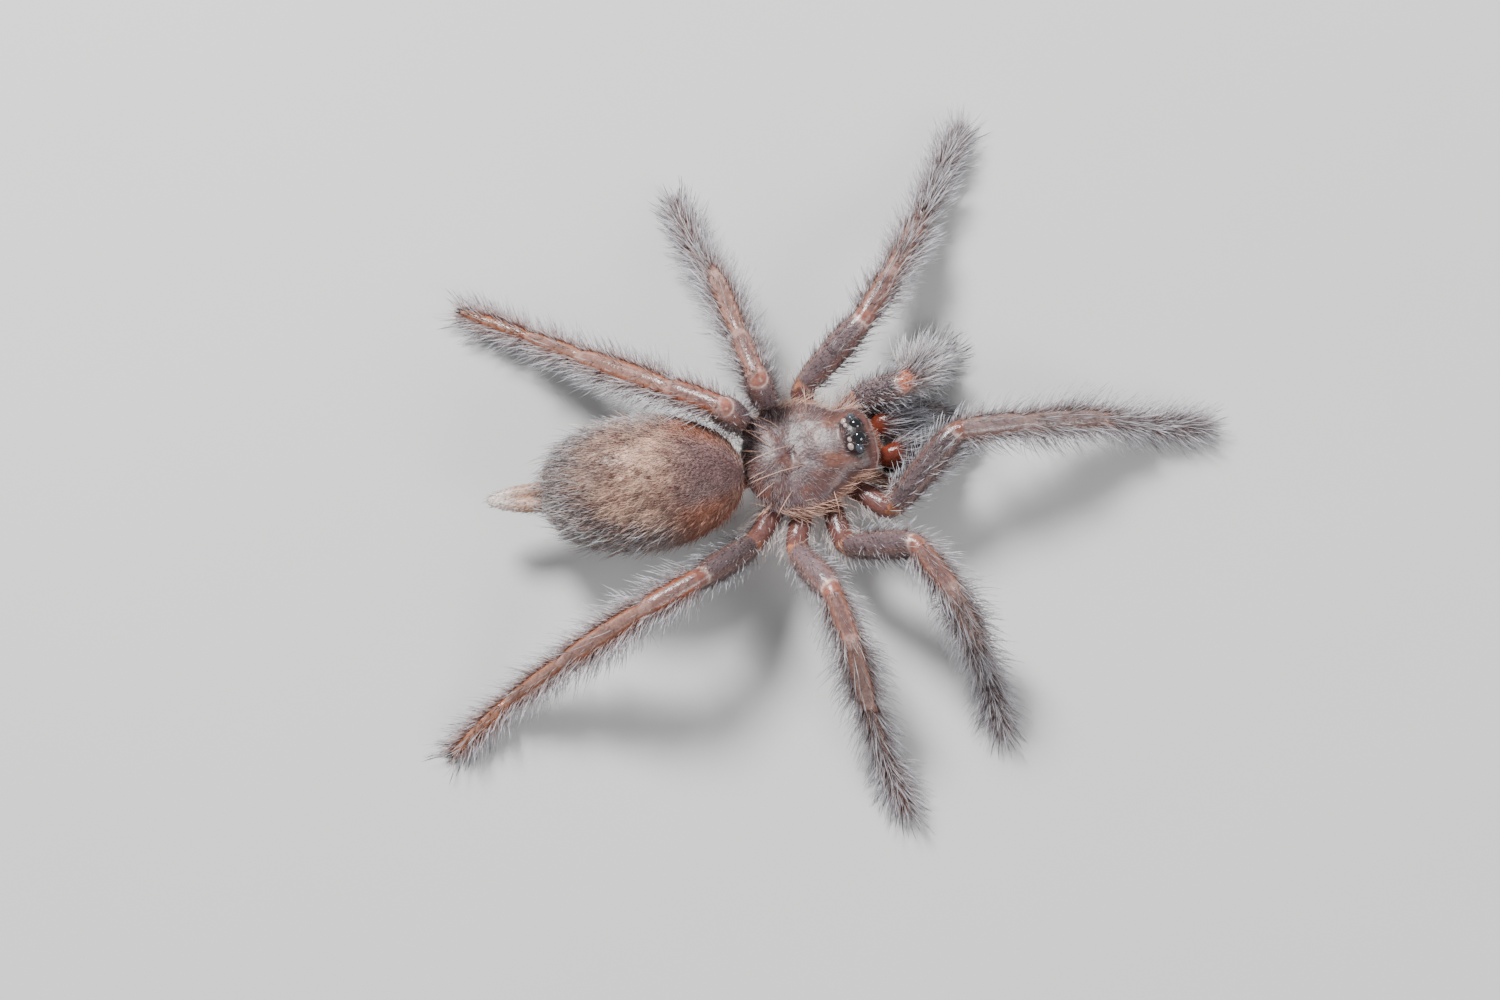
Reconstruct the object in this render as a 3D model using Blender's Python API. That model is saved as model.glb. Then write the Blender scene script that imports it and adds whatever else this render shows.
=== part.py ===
"""A young tarantula at life size, standing still on eight feet.

Metres, +Z up. The origin is on the floor, below the middle of the animal's bounding box. +X points
roughly to the head and +Y to the animal's left. Each solid is the outline out to the tips of the
short coat. The legs are modelled whole and parted by thin cuts at their joints.
"""

import math

import bmesh
import bpy
from mathutils import Matrix, Vector

MM = 0.001
GAP = 0.12 * MM
FLOOR_Z = 0.0

# Where the body stands. The head turns a little to its left, and the body leans a few degrees.
BODY_CENTRE = Vector((-0.82, -0.077, 2.75)) * MM
BODY_HEADING = 15
BODY_ROLL = -8
BODY_PITCH = -2

# The front half of the body: a domed shield above, a plate below and the coxae between them.
CARAPACE_LENGTH = 5.5 * MM
THORAX_HALF_WIDTH = 2.42 * MM
THORAX_MIDDLE = -0.55 * MM
THORAX_HALF_LENGTH = 2.25 * MM
CAPUT_HALF_WIDTH = 1.58 * MM
CAPUT_MIDDLE = 1.25 * MM
CAPUT_HALF_LENGTH = 1.5 * MM
SHIELD_RISE = 1.05 * MM
CAPUT_RISE = 1.3 * MM
SHIELD_DEPTH = 0.16 * MM
FOVEA_X = -0.75 * MM
FOVEA_DEPTH = 0.16 * MM
STERNUM_SIZE = Vector((3.0, 2.2, 0.62)) * MM
STERNUM_CENTRE = Vector((-0.05, 0, -1.13)) * MM

# Eight eyes on one raised mound: (along, across, radius) for the left half, in millimetres.
EYE_MOUND_SIZE = Vector((1.0, 1.62, 0.72)) * MM
EYE_MOUND_CENTRE = Vector((1.82, 0, 1.42)) * MM
EYE_MOUND_DROOP = 0.2 * MM
EYES = (
    (0.12, 0.25, 0.19),
    (0.1, 0.64, 0.15),
    (-0.22, 0.53, 0.13),
    (-0.2, 0.3, 0.11),
)

CHELICERA_SIZE = Vector((2.15, 1.28, 1.76)) * MM
CHELICERA_CENTRE = Vector((3.6, 0.7, -0.48)) * MM
CHELICERA_PITCH = -14
FANG_ROOT = Vector((4.3, 0.7, -1.62)) * MM
FANG_CURL_RADIUS = 0.85 * MM
FANG_CURL = (20, 130)
FANG_CURL_DEPTH = 0.35
FANG_RADIUS = 0.27 * MM
FANG_TIP_RADIUS = 0.12 * MM

PEDICEL_RADIUS = 0.42 * MM
PEDICEL_FRONT = Vector((-1.75, 0, -0.9)) * MM
PEDICEL_REAR = Vector((3.6, 0, -1.42)) * MM
ABDOMEN_LENGTH = 8.3 * MM
ABDOMEN_WIDTH = 5.75 * MM
ABDOMEN_HEIGHT = 5.1 * MM
ABDOMEN_HEADING = 5
ABDOMEN_PITCH = 3
ABDOMEN_CENTRE = BODY_CENTRE + Vector((-6.62, -1.26, 0.6)) * MM
SPINNERET_LENGTH = 2.1 * MM
SPINNERET_RADIUS = 0.33 * MM
SPINNERET_SPACING = 0.36 * MM
SPINNERET_DROP = 0.6 * MM
SPINNERET_GAP = 0.08 * MM
# How far along each finger, and how much of its radius: a short joint, a long one and a blunt tip.
SPINNERET_STATIONS = ((0, 0.8), (0.12, 1), (0.5, 0.95), (0.56, 0.85), (0.9, 0.75), (1, 0.4))

# Leg pairs, front to rear: where the left coxa starts at the plate's edge, in the body's frame, the
# lengths of the femur, patella, tibia, metatarsus and tarsus, and how much of the usual girth they
# have. The left front leg was lost once and has grown back short and slender.
PAIRS = {
    1: dict(hip=(1.2, 1.15), lengths=(4.2, 2.7, 3.6, 2.4, 2.4), girth=1),
    2: dict(hip=(0.35, 1.4), lengths=(3.9, 2.3, 3.4, 2.4, 2.1), girth=1),
    3: dict(hip=(-0.6, 1.4), lengths=(3.1, 2.2, 3.3, 2.7, 2.3), girth=1),
    4: dict(hip=(-1.45, 1.1), lengths=(3.5, 2.5, 4.4, 3.6, 2.6), girth=1),
    "regrown": dict(hip=(1.2, 1.15), lengths=(2.6, 1.25, 1.9, 0.9, 0.85), girth=0.8),
}
COXA_DROP = 0.85 * MM
TROCHANTER_DROP = 0.5 * MM

# Each leg's stance: where its trochanter ends in the body's frame, the compass headings of its five
# outer pieces, and the pitches of its femur, patella and tibia, in degrees. The pitches of the
# metatarsus and tarsus follow from the heights that a foot starts and ends at.
STANCE = {
    "leg_1_left": dict(
        pair="regrown", root=(2.52, 2.09), headings=(7, 52, 60, 55, 50), pitches=(43, -24, -80)
    ),
    "leg_2_left": dict(
        pair=2, root=(0.42, 3.09), headings=(45, 60, 65, 69, 65), pitches=(23, -12, -29)
    ),
    "leg_3_left": dict(
        pair=3, root=(-1.08, 2.79), headings=(130, 110, 109, 119, 109), pitches=(80, -24, -27)
    ),
    "leg_4_left": dict(
        pair=4, root=(-2.23, 2.29), headings=(190, 156, 154, 151, 157), pitches=(78, -20, -26)
    ),
    "leg_1_right": dict(
        pair=1, root=(2.56, -2.95), headings=(50, 9, 9, 0, 1), pitches=(19, -11, -24)
    ),
    "leg_2_right": dict(
        pair=2, root=(0.37, -3.91), headings=(-8, -52, -56, -66, -74), pitches=(44, -4, -58)
    ),
    "leg_3_right": dict(
        pair=3, root=(-1.58, -3.51), headings=(-54, -70, -71, -70, -66), pitches=(38, 0, -50)
    ),
    "leg_4_right": dict(
        pair=4, root=(-3.08, -2.86), headings=(-140, -150, -153, -149, -137), pitches=(38, 0, -33)
    ),
}
LEG_PIECES = ("coxa", "femur", "patella", "tibia", "metatarsus_tarsus")

# Half widths and half depths of each piece at its start, middle and end, in millimetres.
LEG_GIRTHS = {
    "coxa": ((0.44, 0.5, 0.5), (0.42, 0.5, 0.5)),
    "femur": ((0.46, 0.62, 0.6), (0.5, 0.78, 0.64)),
    "patella": ((0.58, 0.66, 0.62), (0.6, 0.68, 0.62)),
    "tibia": ((0.64, 0.78, 0.64), (0.64, 0.76, 0.64)),
    "metatarsus_tarsus": ((0.62, 0.7, 0.46), (0.58, 0.64, 0.42)),
}
FOOT_START_HEIGHT = 0.7 * MM
FOOT_TIP_HEIGHT = 0.27 * MM
TIP_START = 0.82
TIP_FULLNESS = 0.19
TIP_BLUNTNESS = 0.12

# The palps are like small legs beside the fangs, with no metatarsus.
PALP_HIP = Vector((2.0, 0.75, -1.15)) * MM
PALP_ROOT = Vector((2.95, 1.75, -1.05)) * MM
PALP_LENGTHS = (1.5, 1.9, 1.2)
PALP_PIECES = ("coxa", "femur", "tibia", "tarsus")
PALP_GIRTHS = {
    "coxa": ((0.34, 0.4, 0.38), (0.34, 0.4, 0.38)),
    "femur": ((0.38, 0.44, 0.42), (0.38, 0.44, 0.42)),
    "tibia": ((0.42, 0.45, 0.4), (0.42, 0.45, 0.4)),
    "tarsus": ((0.4, 0.42, 0.28), (0.4, 0.42, 0.28)),
}
PALP_STANCE = {
    "palp_left": dict(headings=(8, -8, -28), pitches=(8, -34)),
    "palp_right": dict(headings=(18, 48, 30), pitches=(-6, -38)),
}

SIDES = 12
RINGS = 4
FOOT_RING_CROWDING = 1.6

COLOURS = {
    "carapace": ((0.19, 0.1, 0.085), 0.3),
    "leg_flesh": ((0.2, 0.125, 0.11), 0.6),
    "coxa_flesh": ((0.3, 0.12, 0.07), 0.4),
    "abdomen_fur": ((0.16, 0.105, 0.09), 0.85),
    "chelicera": ((0.24, 0.06, 0.03), 0.3),
    "fang": ((0.02, 0.01, 0.01), 0.15),
    "eye": ((0.01, 0.01, 0.014), 0.05),
    "membrane": ((0.5, 0.2, 0.1), 0.5),
    "spinneret": ((0.5, 0.36, 0.29), 0.6),
}


def material(name):
    """The named finish, made once."""
    found = bpy.data.materials.get(name)
    if found:
        return found
    colour, roughness = COLOURS[name]
    made = bpy.data.materials.new(name)
    made.use_nodes = True
    shader = made.node_tree.nodes["Principled BSDF"]
    shader.inputs["Base Color"].default_value = (*colour, 1)
    shader.inputs["Roughness"].default_value = roughness
    shader.inputs["Metallic"].default_value = 0
    return made


def clear_scene():
    for obj in list(bpy.data.objects):
        bpy.data.objects.remove(obj)


def add_piece(name, bm, finish):
    """A finished, smooth-shaded object in the animal's collection."""
    bmesh.ops.recalc_face_normals(bm, faces=bm.faces)
    if bm.calc_volume(signed=True) < 0:
        bmesh.ops.reverse_faces(bm, faces=bm.faces)
    mesh = bpy.data.meshes.new(name)
    bm.to_mesh(mesh)
    bm.free()
    mesh.shade_smooth()
    mesh.set_sharp_from_angle(angle=math.radians(50))
    mesh.materials.append(material(finish))
    piece = bpy.data.objects.new(name, mesh)
    TARANTULA.objects.link(piece)
    return piece


def turn(heading, pitch=0, roll=0):
    """A turn from the X axis to a compass heading, nose up by pitch and leaning by roll."""
    return (
        Matrix.Rotation(math.radians(heading), 4, "Z")
        @ Matrix.Rotation(math.radians(-pitch), 4, "Y")
        @ Matrix.Rotation(math.radians(roll), 4, "X")
    )


BODY_FRAME = Matrix.Translation(BODY_CENTRE) @ turn(BODY_HEADING, BODY_PITCH, BODY_ROLL)


def direction(heading, pitch):
    return (turn(heading, pitch) @ Vector((1, 0, 0))).normalized()


def egg(bm, shape, frame, around=20, along=12):
    """A closed form from a sphere whose poles lie on the X axis; shape moves each unit point."""
    turn_poles = Matrix.Rotation(math.radians(90), 4, "Y")
    made = bmesh.ops.create_uvsphere(
        bm, u_segments=around, v_segments=along, radius=1, matrix=turn_poles
    )
    for vertex in made["verts"]:
        vertex.co = frame @ shape(vertex.co)


def ellipsoid(size):
    return lambda unit: Vector((unit.x * size.x, unit.y * size.y, unit.z * size.z)) / 2


def bump(x, middle, half_length, power):
    """1 at the middle, falling to 0 at half a length away; a higher power is squarer."""
    offset = min(abs((x - middle) / half_length), 1)
    return (1 - offset**power) ** (1 / power)


def carapace_point(unit):
    """Unit sphere to shield: a round thorax joined to a narrower, higher, square-fronted caput."""
    x = unit.x * CARAPACE_LENGTH / 2
    around = Vector((unit.y, unit.z)).normalized() if abs(unit.x) < 0.999 else Vector((0, 0))
    thorax = bump(x, THORAX_MIDDLE, THORAX_HALF_LENGTH, 2.1)
    caput = bump(x, CAPUT_MIDDLE, CAPUT_HALF_LENGTH, 3.2)
    half_width = max(THORAX_HALF_WIDTH * thorax, CAPUT_HALF_WIDTH * caput)
    rise = max(SHIELD_RISE * thorax**0.8, CAPUT_RISE * caput**0.8)
    fovea = FOVEA_DEPTH * math.exp(-(((x - FOVEA_X) / (0.4 * MM)) ** 2))
    if around.y > 0:
        height = around.y**0.8 * (rise - fovea * around.y**4)
    else:
        height = around.y * SHIELD_DEPTH
    return Vector((x, around.x * half_width, height))


def carapace():
    bm = bmesh.new()
    egg(bm, carapace_point, BODY_FRAME, around=24, along=15)
    bmesh.ops.remove_doubles(bm, verts=bm.verts, dist=0.005 * MM)
    add_piece("carapace", bm, "carapace")


def eye_mound_point(unit):
    """A low mound whose thin underside and ends follow the caput's crown."""
    point = ellipsoid(EYE_MOUND_SIZE)(unit)
    thickness = 1 if unit.z > 0 else 0.3
    return Vector((point.x, point.y, point.z * thickness - EYE_MOUND_DROOP * unit.y**2))


def eye_tubercle():
    """The mound, with the eyes' domes joined to it."""
    bm = bmesh.new()
    mound_frame = BODY_FRAME @ Matrix.Translation(EYE_MOUND_CENTRE)
    egg(bm, eye_mound_point, mound_frame, around=14, along=8)
    mound = add_piece("eye_tubercle", bm, "eye")
    half_height = EYE_MOUND_SIZE.z / 2
    for side in (-1, 1):
        for number, (along, across, radius) in enumerate(EYES, start=1):
            slope = math.hypot(2 * along * MM / EYE_MOUND_SIZE.x, 2 * across * MM / EYE_MOUND_SIZE.y)
            crown = half_height * math.sqrt(1 - slope**2)
            droop = EYE_MOUND_DROOP * (2 * across * MM / EYE_MOUND_SIZE.y) ** 2
            place = Vector((along * MM, side * across * MM, crown - droop - radius * 0.3 * MM))
            dome = bmesh.new()
            size = Vector((radius, radius, radius)) * 2 * MM
            egg(dome, ellipsoid(size), mound_frame @ Matrix.Translation(place), 7, 4)
            helper = add_piece(f"eye_dome_{number}_{'left' if side > 0 else 'right'}", dome, "eye")
            TARANTULA.objects.unlink(helper)
            HELPERS.objects.link(helper)
            helper.hide_render = True
            helper.display_type = "WIRE"
            union = mound.modifiers.new(helper.name, "BOOLEAN")
            union.operation = "UNION"
            union.object = helper


def chelicera(name, side):
    """A deep, blunt, slightly drooping fang base."""
    bm = bmesh.new()
    place = Vector((CHELICERA_CENTRE.x, side * CHELICERA_CENTRE.y, CHELICERA_CENTRE.z))
    frame = BODY_FRAME @ Matrix.Translation(place) @ turn(0, CHELICERA_PITCH)

    def shape(unit):
        point = ellipsoid(CHELICERA_SIZE)(unit)
        droop = max(unit.x, 0) ** 2
        return Vector((point.x, point.y * (1 - 0.15 * droop), point.z * (1 + 0.06 * droop)))

    egg(bm, shape, frame, around=14, along=9)
    add_piece(name, bm, "chelicera")


def tube(name, points, radii, finish):
    """A round, tapering bar along a few points, with closed ends."""
    curve = bpy.data.curves.new(name, "CURVE")
    curve.dimensions = "3D"
    curve.bevel_depth = 1
    curve.bevel_resolution = 2
    curve.use_fill_caps = True
    spline = curve.splines.new("POLY")
    spline.points.add(len(points) - 1)
    for knot, point, radius in zip(spline.points, points, radii):
        knot.co = (*point, 1)
        knot.radius = radius
    bar = bpy.data.objects.new(name, curve)
    curve.materials.append(material(finish))
    TARANTULA.objects.link(bar)


def fang(name, side):
    """A short hook folded under the chelicera, its point turned back."""
    root = Vector((FANG_ROOT.x, side * FANG_ROOT.y, FANG_ROOT.z))
    first_angle, last_angle = FANG_CURL
    steps = 6
    points = []
    radii = []
    for step in range(steps + 1):
        part = step / steps
        angle = math.radians(first_angle + (last_angle - first_angle) * part)
        curl = Vector((math.cos(angle) - 1, 0, -math.sin(angle) * FANG_CURL_DEPTH))
        points.append(BODY_FRAME @ (root + curl * FANG_CURL_RADIUS))
        radii.append(FANG_RADIUS + (FANG_TIP_RADIUS - FANG_RADIUS) * part)
    tube(name, points, radii, "fang")


def sternum():
    bm = bmesh.new()
    egg(bm, ellipsoid(STERNUM_SIZE), BODY_FRAME @ Matrix.Translation(STERNUM_CENTRE), 16, 9)
    add_piece("sternum", bm, "coxa_flesh")


def abdomen_frame():
    return Matrix.Translation(ABDOMEN_CENTRE) @ turn(ABDOMEN_HEADING, ABDOMEN_PITCH)


def abdomen_point(unit):
    """An egg that is fullest behind its middle and draws in a little to the spinnerets."""
    girth = 1 - 0.1 * unit.x * abs(unit.x) - 0.04 * unit.x
    flat_belly = 0.92 if unit.z < 0 else 1.0
    return Vector(
        (
            unit.x * ABDOMEN_LENGTH / 2,
            unit.y * girth * ABDOMEN_WIDTH / 2,
            unit.z * girth * flat_belly * ABDOMEN_HEIGHT / 2,
        )
    )


def abdomen():
    bm = bmesh.new()
    egg(bm, abdomen_point, abdomen_frame(), around=22, along=15)
    add_piece("abdomen", bm, "abdomen_fur")


def pedicel():
    """The narrow waist, from under the shield's rear to the abdomen's front."""
    front = BODY_FRAME @ PEDICEL_FRONT
    rear = abdomen_frame() @ PEDICEL_REAR
    tube("pedicel", [front, front.lerp(rear, 0.5), rear], [PEDICEL_RADIUS] * 3, "membrane")


def spinneret(name, side):
    """One of two jointed fingers that trail from the abdomen's end."""
    base_x = SPINNERET_GAP - ABDOMEN_LENGTH / 2
    start = Vector((base_x, side * SPINNERET_SPACING, -SPINNERET_DROP))
    points = []
    radii = []
    for part, radius in SPINNERET_STATIONS:
        reach = Vector((-SPINNERET_LENGTH * part, side * -0.16 * MM * part, 0.2 * MM * part))
        points.append(abdomen_frame() @ (start + reach))
        radii.append(SPINNERET_RADIUS * radius)
    tube(name, points, radii, "spinneret")


def girth_at(sizes, part):
    """Start, middle and end sizes joined by a smooth curve."""
    start, middle, end = sizes
    ends = start + (end - start) * part
    swell = middle - (start + end) / 2
    return (ends + swell * math.sin(math.pi * part)) * MM


def tip_taper(part):
    """1 along a foot, closing to a blunt point over its last fifth."""
    past = max(part - TIP_START, 0) / TIP_FULLNESS
    return math.sqrt(max(1 - past**2, TIP_BLUNTNESS))


def limb_piece(name, start, end, girths, planes, finish, via=None):
    """One length of a limb between two cut planes, from a cylinder that is swelled and placed.

    planes are the normals of the cuts at its start and end. A foot bows through the joint at via,
    closes at its tip and is cut off level with the floor.
    """
    widths, depths = girths
    is_foot = via is not None
    bow = (via - (start + end) / 2) if is_foot else Vector((0, 0, 0))
    axis = (end - start).normalized()
    length = (end - start).length
    across = Vector((0, 0, 1)).cross(axis).normalized()
    up = axis.cross(across)
    bm = bmesh.new()
    bmesh.ops.create_cone(bm, cap_ends=True, segments=SIDES, radius1=1, radius2=1, depth=1)
    lengthwise = [edge for edge in bm.edges if abs(edge.verts[0].co.z - edge.verts[1].co.z) > 0.5]
    bmesh.ops.subdivide_edges(bm, edges=lengthwise, cuts=RINGS, use_grid_fill=True)
    for vertex in bm.verts:
        part = vertex.co.z + 0.5
        taper = 1
        if is_foot:
            part = 1 - (1 - part) ** FOOT_RING_CROWDING
            taper = tip_taper(part)
        offset = across * vertex.co.x * girth_at(widths, part) * taper
        offset += up * vertex.co.y * girth_at(depths, part) * taper
        first = GAP / 2 - offset.dot(planes[0]) / axis.dot(planes[0])
        last = length - GAP / 2 - offset.dot(planes[1]) / axis.dot(planes[1])
        arch = bow * 4 * part * (1 - part)
        vertex.co = start + offset + arch + axis * (first + (last - first) * part)
    if is_foot:
        flatten_foot(bm)
    add_piece(name, bm, finish)


def flatten_foot(bm):
    """Cuts a foot off level with the floor and closes it."""
    cut = bmesh.ops.bisect_plane(
        bm,
        geom=bm.verts[:] + bm.edges[:] + bm.faces[:],
        plane_co=(0, 0, FLOOR_Z),
        plane_no=(0, 0, -1),
        clear_outer=True,
    )
    rim = [item for item in cut["geom_cut"] if isinstance(item, bmesh.types.BMEdge)]
    bmesh.ops.edgeloop_fill(bm, edges=rim)


def reach_to_height(start, length, heading, height):
    """Where a piece ends if it points along a heading and comes down to a height."""
    sine = max(min((height - start.z) / length, 0.95), -0.95)
    return start + direction(heading, math.degrees(math.asin(sine))) * length


def joint_points(root, lengths, headings, pitches, heights):
    """The joints along a limb: pitches serve the first pieces and heights the last ones."""
    points = [root]
    for length, heading, pitch in zip(lengths, headings, pitches):
        points.append(points[-1] + direction(heading, pitch) * length * MM)
    outer = len(pitches)
    for length, heading, height in zip(lengths[outer:], headings[outer:], heights):
        points.append(reach_to_height(points[-1], length * MM, heading, height))
    return points


def limb(name, points, pieces, girths, finishes):
    """Parts one limb at its joints, each cut along the mitre between two pieces."""
    axes = [(after - before).normalized() for before, after in zip(points, points[1:])]
    for index, piece in enumerate(pieces):
        is_foot = index == len(pieces) - 1
        first_plane = (axes[max(index - 1, 0)] + axes[index]).normalized()
        last_plane = axes[-1] if is_foot else (axes[index] + axes[index + 1]).normalized()
        end = points[-1] if is_foot else points[index + 1]
        via = None
        if is_foot:
            via = points[-2] if len(points) > len(pieces) + 1 else (points[-2] + points[-1]) / 2
        planes = (first_plane, last_plane)
        limb_piece(
            f"{name}_{piece}", points[index], end, girths[piece], planes, finishes[index], via
        )


def leg(name, stance):
    """Five pieces, from the coxa at the body to the foot."""
    side = 1 if name.endswith("left") else -1
    pair = PAIRS[stance["pair"]]
    hip_x, hip_y = pair["hip"]
    hip = BODY_FRAME @ Vector((hip_x * MM, side * hip_y * MM, -COXA_DROP))
    root_x, root_y = stance["root"]
    root = BODY_FRAME @ Vector((root_x * MM, root_y * MM, -TROCHANTER_DROP))
    heights = (FOOT_START_HEIGHT * pair["girth"], FOOT_TIP_HEIGHT * pair["girth"])
    outer = joint_points(root, pair["lengths"], stance["headings"], stance["pitches"], heights)
    finishes = ["coxa_flesh"] + ["leg_flesh"] * 4
    girths = {
        piece: [[size * pair["girth"] for size in sizes] for sizes in LEG_GIRTHS[piece]]
        for piece in LEG_PIECES
    }
    limb(name, [hip] + outer, LEG_PIECES, girths, finishes)


def palp(name, stance):
    """Four pieces, held beside the fangs."""
    side = 1 if name.endswith("left") else -1
    hip = BODY_FRAME @ Vector((PALP_HIP.x, side * PALP_HIP.y, PALP_HIP.z))
    root = BODY_FRAME @ Vector((PALP_ROOT.x, side * PALP_ROOT.y, PALP_ROOT.z))
    heights = (FOOT_TIP_HEIGHT,)
    outer = joint_points(root, PALP_LENGTHS, stance["headings"], stance["pitches"], heights)
    limb(name, [hip] + outer, PALP_PIECES, PALP_GIRTHS, ["leg_flesh"] * 4)


clear_scene()
TARANTULA = bpy.data.collections.new("tarantula")
HELPERS = bpy.data.collections.new("helpers")
bpy.context.scene.collection.children.link(TARANTULA)
bpy.context.scene.collection.children.link(HELPERS)

carapace()
eye_tubercle()
sternum()
pedicel()
abdomen()
for side_name, side_sign in (("left", 1), ("right", -1)):
    chelicera(f"chelicera_{side_name}", side_sign)
    fang(f"fang_{side_name}", side_sign)
    spinneret(f"spinneret_{side_name}", side_sign)
    palp(f"palp_{side_name}", PALP_STANCE[f"palp_{side_name}"])
for leg_name, leg_stance in STANCE.items():
    leg(leg_name, leg_stance)
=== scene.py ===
# %% [markdown]
# # A young tarantula at life size
# The frame holds plain solids: one for each length of the animal, out to the tips of its short
# coat. This lesson dresses them as a museum maker would. First comes one bare skin, then the
# shield, eyes, fangs and claws, and at last about a hundred thousand hairs that lie as they grow.
# Most of the skin is drawn in from the solids by the depth of its coat, but at the hips, the
# waist, the silk fingers and under the shield some of it stands outside them.

# %% Load the frame
import math

import bmesh
import bpy
import numpy as np
from mathutils import Matrix, Vector


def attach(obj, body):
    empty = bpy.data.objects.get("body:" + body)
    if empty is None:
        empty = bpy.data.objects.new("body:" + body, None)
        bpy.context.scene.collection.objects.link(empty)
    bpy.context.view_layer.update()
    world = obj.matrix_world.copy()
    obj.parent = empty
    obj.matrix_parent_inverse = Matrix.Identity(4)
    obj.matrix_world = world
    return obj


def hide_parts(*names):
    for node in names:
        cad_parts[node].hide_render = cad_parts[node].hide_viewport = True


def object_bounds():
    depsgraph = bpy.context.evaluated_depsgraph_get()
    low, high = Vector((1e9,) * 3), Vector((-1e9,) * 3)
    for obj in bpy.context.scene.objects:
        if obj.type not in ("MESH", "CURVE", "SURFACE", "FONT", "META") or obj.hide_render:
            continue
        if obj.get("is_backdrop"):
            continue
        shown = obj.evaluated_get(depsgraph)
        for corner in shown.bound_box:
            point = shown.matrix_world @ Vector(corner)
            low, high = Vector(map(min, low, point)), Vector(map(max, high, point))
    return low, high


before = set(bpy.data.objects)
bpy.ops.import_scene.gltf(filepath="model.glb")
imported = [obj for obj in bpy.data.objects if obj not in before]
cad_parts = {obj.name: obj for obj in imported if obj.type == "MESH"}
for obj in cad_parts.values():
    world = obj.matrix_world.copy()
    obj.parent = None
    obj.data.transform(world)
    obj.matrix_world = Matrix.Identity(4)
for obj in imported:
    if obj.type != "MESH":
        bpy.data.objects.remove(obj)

cad_low, cad_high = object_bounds()
MM = 0.001
chance = np.random.default_rng(11)
print(len(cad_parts), "solids,", [round(side / MM, 1) for side in cad_high - cad_low], "mm")

# %% [markdown]
# ## Measuring the solids
# The real animal would be measured with calipers. Here the frame's own corners are read into
# arrays, in millimetres, because whole arrays are far quicker than loops in Python. The longest,
# middle and shortest directions of a form come from its spread, which mathematicians call
# principal axes.


# %% Read a solid
def rows_of(things, key, width=3, kind=float):
    """One property of all the corners or faces of a mesh, with a row for each."""
    values = np.empty(len(things) * width, kind)
    things.foreach_get(key, values)
    return values.reshape(-1, width)


def corners(node):
    """A solid's corners, in millimetres."""
    return rows_of(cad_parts[node].data.vertices, "co") / MM


def unit(vectors):
    """The same directions, one long."""
    return vectors / np.maximum(np.linalg.norm(vectors, axis=-1, keepdims=True), 1e-9)


def own_axes(node, guide=np.eye(3)):
    """A solid's middle, its own three axes as rows in the guide's order, and its half sizes."""
    places = corners(node)
    spread = places - places.mean(axis=0)
    found = np.linalg.eigh(spread.T @ spread)[1].T
    match = guide @ found.T
    order = np.abs(match).argmax(axis=1)
    turn = found[order] * np.sign(match[range(3), order])[:, None]
    seen = places @ turn.T
    low, high = seen.min(axis=0), seen.max(axis=0)
    return (low + high) / 2 @ turn, turn, (high - low) / 2


sternum_middle, BODY_TURN, sternum_half = own_axes("sternum")
heading = math.degrees(math.atan2(BODY_TURN[0, 1], BODY_TURN[0, 0]))
print("the body heads", round(heading, 1), "degrees from +X")

# %% [markdown]
# ## The joints of the limbs
# Neighbouring solids of a limb are parted by a thin cut, so their nearest corners stand on both
# sides of a joint, and the middle of those corners is the joint itself. A foot's solid holds two
# pieces of the real leg, the metatarsus and the tarsus, and bows evenly through the joint between
# them.

# %% Find the joints
SIDES = (("left", 1), ("right", -1))
LEGS = [f"leg_{pair}_{side}" for side in ("left", "right") for pair in (1, 2, 3, 4)]
PALPS = ["palp_left", "palp_right"]
CAD_PIECES = {
    "leg": ("coxa", "femur", "patella", "tibia", "metatarsus_tarsus"),
    "palp": ("coxa", "femur", "tibia", "tarsus"),
}
# The stretch of a foot, as shares of its length, on which its bow is measured.
BOW_FROM, BOW_TO = 0.2, 0.44


def meeting(first, second, reach=0.2):
    """The joint between two neighbouring solids."""
    one, other = corners(first), corners(second)
    apart = np.linalg.norm(one[:, None] - other[None], axis=2)
    near_one = one[apart.min(axis=1) < reach]
    near_other = other[apart.min(axis=0) < reach]
    return (near_one.mean(axis=0) + near_other.mean(axis=0)) / 2


def far_end(node, joint, cap=0.12):
    """The middle of a solid's end away from a joint."""
    places = corners(node)
    ahead = unit(places.mean(axis=0) - joint)
    reach = (places - joint) @ ahead
    return places[reach > reach.max() - cap].mean(axis=0)


def foot_bend(node, ankle, tip):
    """The joint that a foot's solid bows through."""
    places = corners(node)
    chord = tip - ankle
    part = (places - ankle) @ chord / (chord @ chord)
    ring = (part > BOW_FROM) & (part < BOW_TO)
    station = part[ring].mean()
    bow = places[ring].mean(axis=0) - ankle - chord * station
    return ankle + chord / 2 + bow / (4 * station * (1 - station))


def limb_joints(limb):
    """A limb's joints in turn, from its root to its tip."""
    kind = limb.split("_")[0]
    nodes = [f"{limb}_{piece}" for piece in CAD_PIECES[kind]]
    inner = [meeting(first, second) for first, second in zip(nodes, nodes[1:])]
    tip = far_end(nodes[-1], inner[-1])
    ends = [foot_bend(nodes[-1], inner[-1], tip), tip] if kind == "leg" else [tip]
    return [far_end(nodes[0], inner[0])] + inner + ends


JOINTS = {limb: limb_joints(limb) for limb in LEGS + PALPS}
for limb in LEGS:
    lengths = [np.linalg.norm(b - a) for a, b in zip(JOINTS[limb], JOINTS[limb][1:])]
    print(limb, "pieces of", [round(float(length), 1) for length in lengths], "mm")

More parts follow.
